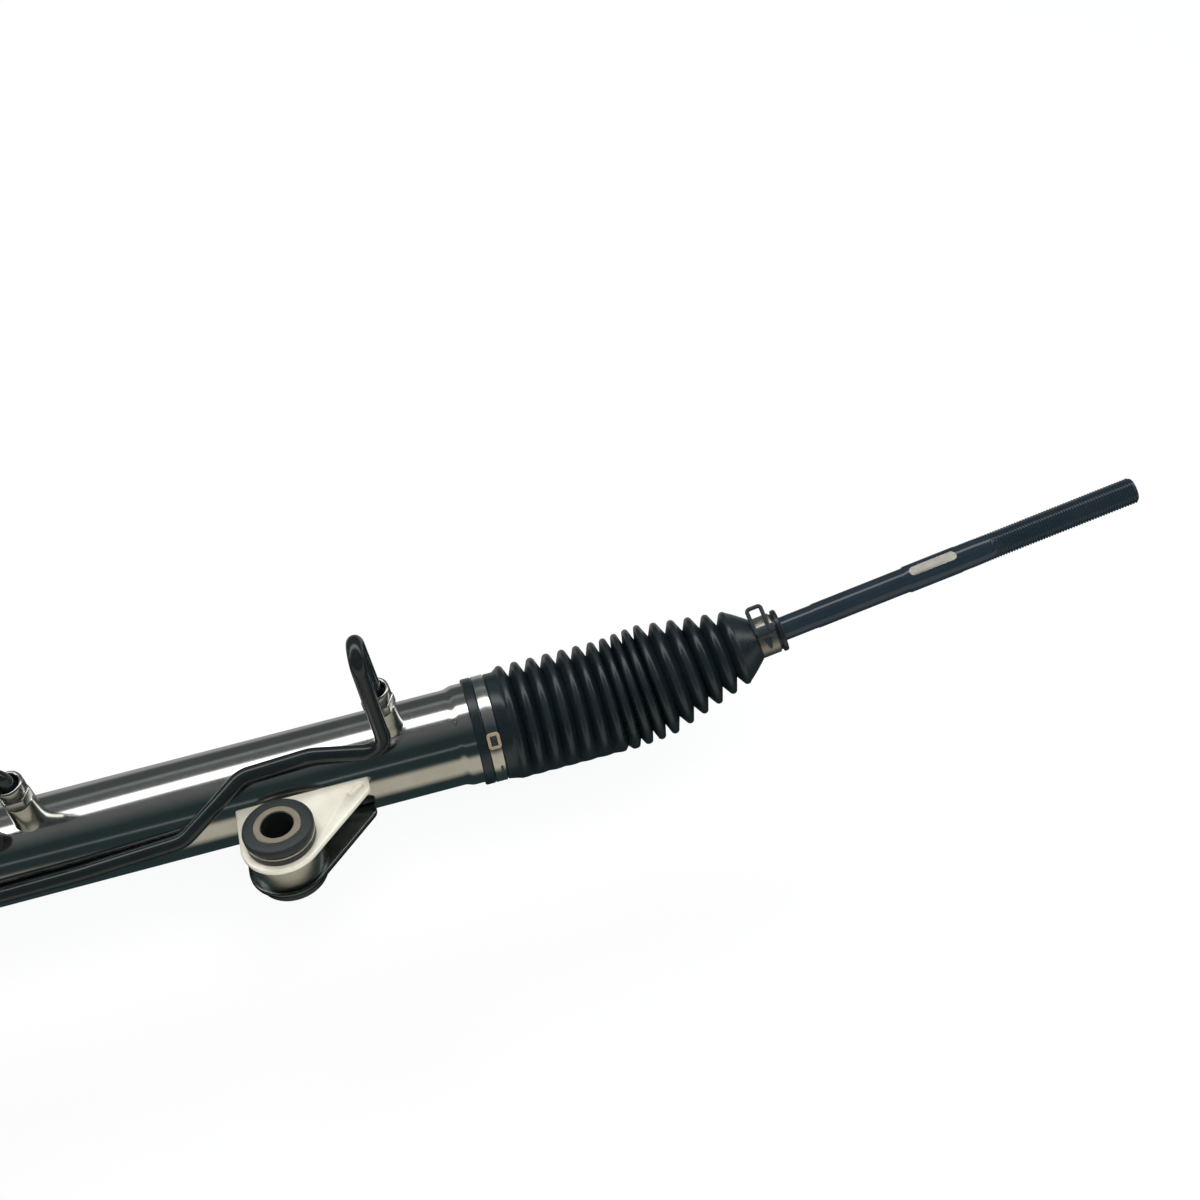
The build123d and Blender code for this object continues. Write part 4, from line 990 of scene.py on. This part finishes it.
dress(
    ground_steel,
    "rack_bar",
    "pinion",
    "valve_sleeve",
    "torsion_bar",
    "torsion_pin",
    "lower_bearing",
    "upper_bearing",
    "input_bearing",
)
dress(
    dark_steel,
    "pinion_nut",
    "retaining_ring",
    "right_ball_housing",
    "left_ball_housing",
    "yoke_spring",
)
dress(
    turned_aluminium,
    "end_bulkhead",
    "inner_seal_support",
    "bulkhead_ring",
    "piston",
    "yoke",
)
dress(seal_skin, "bulkhead_seal", "inner_rack_seal", "input_seal", "buffer_pad")
dress(ring_plastic, "piston_ring", "valve_rings")
dress(liner_plastic, "right_ball_seat", "left_ball_seat")


# Plugs and caps that show outside: turned aluminium, steel and moulded plastic. Their edges are
# broken, as turned and moulded parts' are.
eased_covers = {
    "yoke_plug": (0.6, turned_aluminium, "turned_aluminium"),
    "yoke_lock_nut": (0.6, dark_steel, "dark_steel"),
    "bottom_cap": (0.6, turned_aluminium, "turned_aluminium"),
    "dust_cap": (0.8, cap_plastic, "cap_plastic"),
}
for node, (easing, finish, slot_name) in eased_covers.items():
    cover_bm = merged_copy(node)
    ease_edges(cover_bm, easing, limit=40)
    cover = finish_piece(f"{node}_eased", cover_bm, "housing", slot_name, finish)
    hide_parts(node)


# Input shaft: ground steel, with 36 splines cut in its end for the column's joint. Its lower part
# keeps the solid's shape, and the splined end stands on the cut.
pinion_centre = Vector((-298.0, 31.318, -3.0))
pinion_lean = radians(15)
pinion_way = Vector((-sin(pinion_lean), 0, cos(pinion_lean)))
spline_start = 104.4
spline_top = 128.0
spline_count = 36
spline_outer = 8.5
spline_inner = 7.75
spline_chamfer = 1.0
spline_end_share = 0.9


def cut_at(bm, place, height, keep_below):
    """Cuts bm square to a placed axis, keeps one side and gives the cut's edges."""
    point = place @ Vector((0, 0, height))
    way = place.to_3x3() @ Vector((0, 0, 1))
    geometry = list(bm.verts) + list(bm.edges) + list(bm.faces)
    cut = bmesh.ops.bisect_plane(
        bm,
        geom=geometry,
        dist=0.0001,
        plane_co=point,
        plane_no=way,
        clear_outer=keep_below,
        clear_inner=not keep_below,
    )
    return [item for item in cut["geom_cut"] if isinstance(item, bmesh.types.BMEdge)]


def splined_end():
    """Splined bar along local z with a chamfered end. Each tooth has four points on the ring."""
    bm = bmesh.new()
    foot = Matrix.Translation((0, 0, spline_start))
    ring = bmesh.ops.create_circle(bm, segments=spline_count * 4, radius=spline_outer, matrix=foot)
    for i, vertex in enumerate(ring["verts"]):
        if i % 4 > 1:
            vertex.co.xy = vertex.co.xy * spline_inner / spline_outer
    rim = list(bm.edges)
    toothed_height = spline_top - spline_start - spline_chamfer
    for climb, shrink in ((toothed_height, 1.0), (spline_chamfer, spline_end_share)):
        points, rim = push_rim(bm, rim, (0, 0, climb))
        bmesh.ops.scale(bm, verts=points, vec=(shrink, shrink, 1))
    bmesh.ops.holes_fill(bm, edges=bm.edges, sides=0)
    return bm


pinion_place = placed(pinion_centre, pinion_way)
shaft_bm = merged_copy("input_shaft")
shaft_cut = cut_at(shaft_bm, pinion_place, spline_start, True)
bmesh.ops.holes_fill(shaft_bm, edges=shaft_cut, sides=0)
splines_bm = splined_end()
bmesh.ops.transform(splines_bm, matrix=pinion_place, verts=splines_bm.verts)
join(shaft_bm, splines_bm)
shaft = finish_piece("splined_shaft", shaft_bm, "input_shaft", "ground_steel", ground_steel)
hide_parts("input_shaft")


# Tie rods: forged bars with a glossy blue-black coat and a rolled thread at the outer end.
# Two flats for the wrench are left bare.
rod_rise = radians(10.1)
ball_x = 180.0
mirror_x = -120.5
side_ways = {"right": 1, "left": -1}
rod_length = 288.0
thread_start = 198.0
thread_pitch = 1.5
thread_major = 6.95
thread_minor = 6.35
thread_fade = 16.0
thread_chamfer = 1.2
thread_steps = 40
wrench_flat = (163.0, 190.0)
wrench_flat_reach = 6.95
rod_coat = coat_finish(
    "rod_coat",
    colour=(0.013, 0.022, 0.031),
    worn=(0.017, 0.027, 0.037),
    roughness=0.09,
    grain=1800.0,
    depth=0.002,
)
bare_flat = metal_finish(
    "bare_flat",
    bright=(0.50, 0.475, 0.43),
    dull=(0.43, 0.41, 0.365),
    roughness=0.5,
    lay=(300, 1200, 1200),
    depth=0.02,
)


def to_side(side):
    """Matrix that mirrors a right-hand mesh onto its side of the gear."""
    if side_ways[side] > 0:
        return straight
    return Matrix.Translation((2 * mirror_x, 0, 0)) @ Matrix.Scale(-1, 4, (1, 0, 0))


def side_piece(side, name, bm, body, slot_name, *materials):
    """Piece made on the right-hand side and carried to its own side of the gear."""
    bmesh.ops.transform(bm, matrix=to_side(side), verts=bm.verts)
    return finish_piece(f"{side}_{name}", bm, body, slot_name, *materials)


def rod_place(side, station):
    """Placing matrix square to a side's tie rod, at a distance from its ball."""
    ball = rack_middle + rack_way * (ball_x if side_ways[side] > 0 else 2 * mirror_x - ball_x)
    way = Vector((side_ways[side] * cos(rod_rise), 0, sin(rod_rise)))
    return placed(ball + way * station, way)


def rolled_thread():
    """Threaded end along local z: one pitch's outline, spun and fed along at once."""
    bm = bmesh.new()
    outline_points = (
        (0, thread_minor),
        (0.12 * thread_pitch, thread_minor),
        (0.46 * thread_pitch, thread_major),
        (0.58 * thread_pitch, thread_major),
        (0.92 * thread_pitch, thread_minor),
        (thread_pitch, thread_minor),
    )
    low = thread_start - 2 * thread_pitch
    points = [bm.verts.new((radius, 0, low + height)) for height, radius in outline_points]
    sides = [bm.edges.new(pair) for pair in zip(points, points[1:])]
    turns = round((rod_length - low) / thread_pitch) + 1
    bmesh.ops.spin(
        bm,
        geom=points + sides,
        cent=(0, 0, 0),
        axis=(0, 0, 1),
        dvec=(0, 0, thread_pitch / thread_steps),
        angle=2 * pi * turns,
        steps=thread_steps * turns,
        use_merge=False,
    )
    bmesh.ops.remove_doubles(bm, verts=bm.verts, dist=merge_distance)
    for height, keep_below in ((thread_start, False), (rod_length, True)):
        cut = cut_at(bm, straight, height, keep_below)
        bmesh.ops.edgeloop_fill(bm, edges=cut)
    for vertex in bm.verts:
        radius = vertex.co.to_2d().length
        if radius > 1:
            fade = min((vertex.co.z - thread_start) / thread_fade, 1)
            shown = thread_major + (radius - thread_major) * fade
            end_limit = thread_major - thread_chamfer + (rod_length - vertex.co.z)
            share = min(shown, end_limit) / radius
            vertex.co.x *= share
            vertex.co.y *= share
    return bm


one_thread = rolled_thread()
for side in side_ways:
    rod_bm = merged_copy(f"{side}_tie_rod")
    ball_place = rod_place(side, 0)
    cut = cut_at(rod_bm, ball_place, thread_start, True)
    bmesh.ops.edgeloop_fill(rod_bm, edges=cut)
    thread_bm = one_thread.copy()
    bmesh.ops.transform(thread_bm, matrix=ball_place, verts=thread_bm.verts)
    join(rod_bm, thread_bm)
    into_rod = ball_place.inverted()
    for face in rod_bm.faces:
        middle = into_rod @ face.calc_center_median()
        normal = into_rod.to_3x3() @ face.normal
        along_flat = wrench_flat[0] < middle.z < wrench_flat[1] and abs(normal.z) < 0.05
        if along_flat and middle.to_2d().length < wrench_flat_reach:
            face.material_index = 1
    tie_rod = finish_piece(
        f"{side}_rod", rod_bm, f"{side}_tie_rod", "black_steel", rod_coat, bare_flat
    )
    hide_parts(f"{side}_tie_rod")


# Boots: moulded rubber bellows from the tube's flare to the seat on the tie rod. Each is made
# in three lengths that meet in a valley.
boot_start = 9.0
lip_end = 14.3
lip_radius = 27.9
groove_radius = 27.05
groove_end = 20.9
shoulder_radius = 27.6
fold_groups = ((29.7, 8.45, 7, 30.0), (87.5, 6.7, 3, 30.2), (107.9, 8.8, 6, 30.6))
fold_depth = 6.6
ridge_round = 2.1
ridge_spread = radians(58)
ridge_steps = 8
end_peak_radius = 20.0
narrowing_start = 0.3
end_cone_curve = 1.15
boot_wall = 1.4
boot_steps = 96
collar_start = 163.0
boot_end = 178.0
collar_radius = 9.7
collar_lip_start = 175.4
collar_lip_radius = 11.2
rod_seat_radius = 6.45
bend_start = 62.0
bend_length = 50.0
ball_station = ball_x - flare_x
rack_cut = 104.4
tilt_cut = 129.9
swing_end = 160.0
flat_side = radians(-47)
flat_half_width = radians(56)
flat_first = 21.0
flat_first_fade = 8.0
flat_last = 100.0
flat_last_fade = 24.0
flat_share = 0.96
flat_radius = shoulder_radius + 1.6
boot_skin = coat_finish(
    "boot_rubber_skin",
    colour=(0.0065, 0.0120, 0.0145),
    worn=(0.0105, 0.0175, 0.0210),
    roughness=0.29,
    grain=1100.0,
    depth=0.02,
)


def fold_peaks():
    """Station and radius of each fold, from the boot's wide end."""
    peaks = []
    for first, pitch, count, radius in fold_groups[:2]:
        peaks += [(first + i * pitch, radius) for i in range(count)]
    first, pitch, count, radius = fold_groups[2]
    for i in range(count):
        share = (i + narrowing_start) / (count - 1 + narrowing_start)
        peaks.append((first + i * pitch, radius + (end_peak_radius - radius) * share))
    return peaks


def boot_profile():
    """Outside of the boot as (station, radius) points, with the stations of its ridges."""
    peaks = fold_peaks()
    profile = [
        (boot_start + 0.6, flare_radius + 0.1),
        (boot_start, flare_radius + 0.6),
        (boot_start, lip_radius - 0.5),
        (boot_start + 0.5, lip_radius),
        (lip_end - 0.5, lip_radius),
        (lip_end, lip_radius - 0.4),
        (lip_end + 0.1, groove_radius),
        (groove_end, groove_radius),
        (groove_end + 0.15, shoulder_radius - 0.3),
        (groove_end + 0.5, shoulder_radius),
        (peaks[0][0] - 4, shoulder_radius),
    ]
    for i, (station, radius) in enumerate(peaks):
        for k in range(ridge_steps + 1):
            turn = ridge_spread * (2 * k / ridge_steps - 1)
            tip = radius - ridge_round * (1 - cos(turn))
            profile.append((station + ridge_round * sin(turn), tip))
        if i + 1 < len(peaks):
            next_station, next_radius = peaks[i + 1]
            valley = (radius + next_radius) / 2 - fold_depth
            profile.append(((station + next_station) / 2, valley))
    last_station, last_radius = peaks[-1]
    cone_length = collar_start - last_station
    for share in (0.2, 0.4, 0.6, 0.8, 1.0):
        drop = (last_radius - collar_radius - 2) * share**end_cone_curve
        profile.append((last_station + cone_length * share, last_radius - drop))
    profile += [
        (collar_start + 0.9, collar_radius + 1.2),
        (collar_start + 1.2, collar_radius),
        (collar_lip_start, collar_radius),
        (collar_lip_start + 0.1, collar_lip_radius - 0.3),
        (collar_lip_start + 0.4, collar_lip_radius),
        (boot_end - 0.5, collar_lip_radius),
        (boot_end, collar_lip_radius - 0.5),
        (boot_end, rod_seat_radius + 0.4),
        (boot_end - 0.6, rod_seat_radius + 0.1),
    ]
    return profile


def boot_centre(station):
    """Point of the boot's bent centre line, and the direction square to its round section."""
    share = min(max((station - bend_start) / bend_length, 0), 1)
    way = Vector((cos(rod_rise * share), 0, sin(rod_rise * share)))
    if station < ball_station:
        return rack_middle + rack_way * (flare_x + station), way
    rod_way = Vector((cos(rod_rise), 0, sin(rod_rise)))
    return rack_middle + rack_way * ball_x + rod_way * (station - ball_station), way


def boot_inside():
    """Inside of the boot, from end to end of its outside, a wall's thickness within it."""
    peaks = fold_peaks()
    inside = [
        (boot_start + 0.6, flare_radius + 0.1),
        (groove_end, flare_radius + 0.1),
        (peaks[0][0] - 4, shoulder_radius - boot_wall),
    ]
    for i, (station, radius) in enumerate(peaks):
        inside.append((station, radius - ridge_round - 0.6))
        if i + 1 < len(peaks):
            next_station, next_radius = peaks[i + 1]
            valley = (radius + next_radius) / 2 - fold_depth - boot_wall
            inside.append(((station + next_station) / 2, valley))
    inside += [
        (collar_start - 0.8, collar_radius + 0.2),
        (collar_start + 0.6, rod_seat_radius + 0.1),
        (boot_end - 0.6, rod_seat_radius + 0.1),
    ]
    return inside


def fade_folds(bm, full):
    """Flattens the folds at the boot's flat side toward a full radius."""
    for vertex in bm.verts:
        radius = vertex.co.to_2d().length
        around = atan2(vertex.co.y, -vertex.co.x)
        side_share = max(1 - abs(around - flat_side) / flat_half_width, 0)
        side_share = side_share * side_share * (3 - 2 * side_share)
        first_share = max((vertex.co.z - flat_first) / flat_first_fade, 0)
        last_share = max((flat_last - vertex.co.z) / flat_last_fade, 0)
        length_share = min(first_share, last_share, 1)
        target = radius + (full - radius) * flat_share * side_share * length_share
        vertex.co.x *= target / radius
        vertex.co.y *= target / radius


def bellows():
    """Straight bellows along local z: outside with rounded ridges, and inside."""
    bm = turned(boot_profile(), straight, steps=boot_steps, closed=False)
    fade_folds(bm, flat_radius)
    inside = turned(boot_inside(), straight, steps=boot_steps, closed=False)
    fade_folds(inside, flat_radius - boot_wall)
    join(bm, inside)
    bmesh.ops.remove_doubles(bm, verts=bm.verts, dist=merge_distance)
    return bm


def bend_boot(bm):
    """Carries the straight bellows onto the boot's bent centre line."""
    for vertex in bm.verts:
        centre, way = boot_centre(vertex.co.z)
        across = Vector((0, 1, 0))
        vertex.co = centre + across * vertex.co.x + way.cross(across) * vertex.co.y


whole_boot = bellows()
boot_lengths = (
    ("boot_rack_folds", None, rack_cut, "housing", "rack", groove_end, rack_cut),
    ("boot_tilt_folds", rack_cut, tilt_cut, "rack", "seat", rack_cut, tilt_cut),
    ("boot_swing_folds", tilt_cut, None, "seat", "tie_rod", tilt_cut, swing_end),
)
for side in side_ways:
    for piece_name, first_cut, last_cut, body_a, body_b, blend_start, blend_end in boot_lengths:
        boot_bm = whole_boot.copy()
        for station, keep_below in ((first_cut, False), (last_cut, True)):
            if station:
                cut = cut_at(boot_bm, straight, station, keep_below)
                bmesh.ops.bridge_loops(boot_bm, edges=cut)
        bend_boot(boot_bm)
        boot_piece = side_piece(side, piece_name, boot_bm, None, "boot_rubber", boot_skin)
        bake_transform(boot_piece)
        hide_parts(f"{side}_boot")


# Band clamps: bright steel strip drawn tight in the groove of each boot. Its pressed buckle is a
# rounded brass-coloured frame round a dark plain plate, and the strip's tongue leaves a slot.
# The slot is drawn as a dark block on the strip, which is painted shade for the hole.
band_width = 6.0
band_thickness = 0.8
band_start = flare_x + (lip_end + groove_end - band_width) / 2
band_radius = groove_radius + band_thickness
band_steps = 120
band_easing = 0.22
buckle_turn = radians(32)
buckle_size = (6.6, 8.4, 1.35)
buckle_sunk = 0.35
buckle_border = 1.55
buckle_corner = 1.6
buckle_corner_steps = 5
buckle_plate_depth = 0.45
buckle_easing = 0.16
slot_turn = radians(-4)
slot_size = (1.3, 4.2, 0.32)
slot_sunk = 0.25
slot_corner = 0.55
slot_easing = 0.05
slot_inset = 1.9
block_corner_steps = 6
band_steel = metal_finish(
    "band_steel",
    bright=(0.74, 0.74, 0.72),
    dull=(0.60, 0.60, 0.58),
    roughness=0.17,
    lay=lines_round_rack,
    depth=0.004,
)
buckle_brass = metal_finish(
    "buckle_brass",
    bright=(0.47, 0.34, 0.23),
    dull=(0.38, 0.27, 0.18),
    roughness=0.36,
    lay=(500, 500, 500),
    depth=0.003,
    metallic=0.35,
)
# Dark coat of the buckle's plate. On the band's slot it is painted shade for the hole.
buckle_dark = coat_finish(
    "buckle_dark",
    colour=(0.020, 0.026, 0.028),
    worn=(0.032, 0.038, 0.040),
    roughness=0.4,
    grain=1500.0,
    depth=0.02,
)


def round_place(x, around, radius):
    """Placing matrix on the gear's round surface: local z outward, local x along the rack."""
    outward = Vector((0, -cos(around), sin(around)))
    return placed(rack_middle + rack_way * x + outward * radius, outward, rack_way)


def slab(length, width, height, corner, corner_steps):
    """Plate standing on local z = 0 with round upright corners."""
    bm = bmesh.new()
    bmesh.ops.create_cube(bm, size=1, matrix=Matrix.Diagonal((length, width, height, 1)))
    bmesh.ops.translate(bm, verts=bm.verts, vec=(0, 0, height / 2))
    corners = [edge for edge in bm.edges if edge.verts[0].co.xy == edge.verts[1].co.xy]
    round_edges(bm, corners, corner, corner_steps)
    return bm


def block(length, width, height, corner, easing, place):
    """Pressed block standing on its place, with round corners and eased edges."""
    bm = slab(length, width, height, corner, block_corner_steps)
    ease_edges(bm, easing, segments=3, limit=50)
    bmesh.ops.transform(bm, matrix=place, verts=bm.verts)
    return bm


def framed_plate(length, width, height, place):
    """Pressed frame with a sunk plate inside it, which takes the second material."""
    bm = slab(length, width, height, buckle_corner, buckle_corner_steps)
    top = [face for face in bm.faces if face.normal.z > 0.9]
    bmesh.ops.inset_region(bm, faces=top, thickness=buckle_border, use_even_offset=True)
    sunk = bmesh.ops.extrude_face_region(bm, geom=top)["geom"]
    sunk_points = [item for item in sunk if isinstance(item, bmesh.types.BMVert)]
    bmesh.ops.translate(bm, verts=sunk_points, vec=(0, 0, -buckle_plate_depth))
    bmesh.ops.delete(bm, geom=top, context="FACES_ONLY")
    for item in sunk:
        if isinstance(item, bmesh.types.BMFace):
            item.material_index = 1
    ease_edges(bm, buckle_easing, limit=50)
    bmesh.ops.transform(bm, matrix=place, verts=bm.verts)
    return bm


band_profile = (
    (0, groove_radius),
    (0, band_radius),
    (band_width, band_radius),
    (band_width, groove_radius),
)
for side in side_ways:
    band_place = placed(rack_middle + rack_way * band_start, rack_way)
    band_bm = turned(band_profile, band_place, steps=band_steps)
    ease_edges(band_bm, band_easing, limit=50)
    band = side_piece(side, "band", band_bm, "housing", "clamp_steel", band_steel)
    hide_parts(f"{side}_boot_clamp")
    buckle_x = band_start + band_width / 2
    buckle_place = round_place(buckle_x, buckle_turn, band_radius - buckle_sunk)
    buckle_bm = framed_plate(*buckle_size, buckle_place)
    buckle_finishes = (buckle_brass, buckle_dark)
    buckle = side_piece(side, "buckle", buckle_bm, "housing", "clamp_steel", *buckle_finishes)
    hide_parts(f"{side}_boot_clamp")
    # The slot: a dark block on the strip, painted shade for the hole.
    slot_x = band_start + band_width - slot_inset
    slot_place = round_place(slot_x, slot_turn, band_radius - slot_sunk)
    slot_bm = block(*slot_size, slot_corner, slot_easing, slot_place)
    band_slot_shade = side_piece(side, "band_slot_shade", slot_bm, "housing", "clamp_steel", buckle_dark)
    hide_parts(f"{side}_boot_clamp")


# Spring clips: plain steel strip round the collar of each boot, closed by a dark bridge with a
# standing wire loop. The strip has a drop-shaped slot beside the bridge, drawn as a thin dark
# block: painted shade for the hole.
clip_start = 78.2
clip_width = 9.8
strip_thickness = 0.8
strip_inner = collar_radius + 0.15
loop_wire = 1.1
loop_width = 7.4
loop_height = 13.2
loop_corner = 1.5
loop_root = 1.0
loop_sides = 20
loop_step = radians(11.25)
loop_back = 1.2
loop_lift = 1.1
strip_easing = 0.2
bridge_size = (clip_width + 0.6, 4.6, 1.3)
bridge_corner = 0.9
bridge_easing = 0.3
bridge_lift = 0.3
bridge_turn = radians(62)
drop_size = (4.4, 6.4, 0.28)
drop_corner = 1.2
drop_easing = 0.05
drop_sunk = 0.2
drop_middle_share = 0.65
drop_taper = 0.11
drop_turn = radians(22)
# Dark coat of the bridge and its loop. On the drop-shaped slot it is painted shade for the hole.
clip_dark = coat_finish(
    "clip_dark_coat",
    colour=(0.012, 0.020, 0.024),
    worn=(0.018, 0.027, 0.031),
    roughness=0.34,
    grain=1500.0,
    depth=0.01,
)
clip_strip_steel = metal_finish(
    "clip_strip_steel",
    bright=(0.47, 0.45, 0.41),
    dull=(0.40, 0.38, 0.34),
    roughness=0.42,
    lay=(600, 600, 600),
    depth=0.001,
)
rod_way = Vector((cos(rod_rise), 0, sin(rod_rise)))
rod_up = Vector((-sin(rod_rise), 0, cos(rod_rise)))


def round_collar(around, radius, station):
    """Placing matrix on a collar: local z outward at an angle from the front, local x along."""
    outward = Vector((0, -1, 0)) * cos(around) + rod_up * sin(around)
    middle = rod_place("right", station) @ Vector((0, 0, 0))
    return placed(middle + outward * radius, outward, rod_way)


loop_side = Vector((loop_width / 2, 0, 0))
loop_route = (
    -loop_side - upright * loop_root,
    -loop_side + upright * loop_height,
    loop_side + upright * loop_height,
    loop_side - upright * loop_root,
)
strip_outer = strip_inner + strip_thickness
strip_profile = (
    (0, strip_inner),
    (0, strip_outer),
    (clip_width, strip_outer),
    (clip_width, strip_inner),
)
clip_middle = clip_start + clip_width / 2
laid_back = Matrix.Rotation(-pi / 2, 4, "X")
for side in side_ways:
    clip_body = f"{side}_tie_rod"
    strip_bm = turned(strip_profile, rod_place("right", clip_start))
    ease_edges(strip_bm, strip_easing, limit=50)
    strip = side_piece(
        side, "clip_strip", strip_bm, clip_body, "spring_steel", clip_strip_steel
    )
    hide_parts(f"{side}_boot_clip")
    bridge_place = round_collar(bridge_turn, strip_inner + bridge_lift, clip_middle)
    bridge_bm = block(*bridge_size, bridge_corner, bridge_easing, bridge_place)
    # The drop-shaped slot: a thin dark block on the strip, painted shade for the hole.
    drop_slot_shade_bm = block(*drop_size, drop_corner, drop_easing, straight)
    for vertex in drop_slot_shade_bm.verts:
        vertex.co.x *= drop_middle_share + drop_taper * vertex.co.y
    drop_place = round_collar(drop_turn, strip_outer - drop_sunk, clip_middle)
    bmesh.ops.transform(drop_slot_shade_bm, matrix=drop_place, verts=drop_slot_shade_bm.verts)
    join(bridge_bm, drop_slot_shade_bm)
    wire_bm = bent_pipe(loop_route, (loop_corner, loop_corner), loop_wire, loop_sides, loop_step)
    loop_foot = round_collar(bridge_turn, strip_inner + loop_lift, clip_middle - loop_back)
    bmesh.ops.transform(wire_bm, matrix=loop_foot @ laid_back, verts=wire_bm.verts)
    join(bridge_bm, wire_bm)
    bridge = side_piece(side, "clip_bridge", bridge_bm, clip_body, "spring_steel", clip_dark)
    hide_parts(f"{side}_boot_clip")
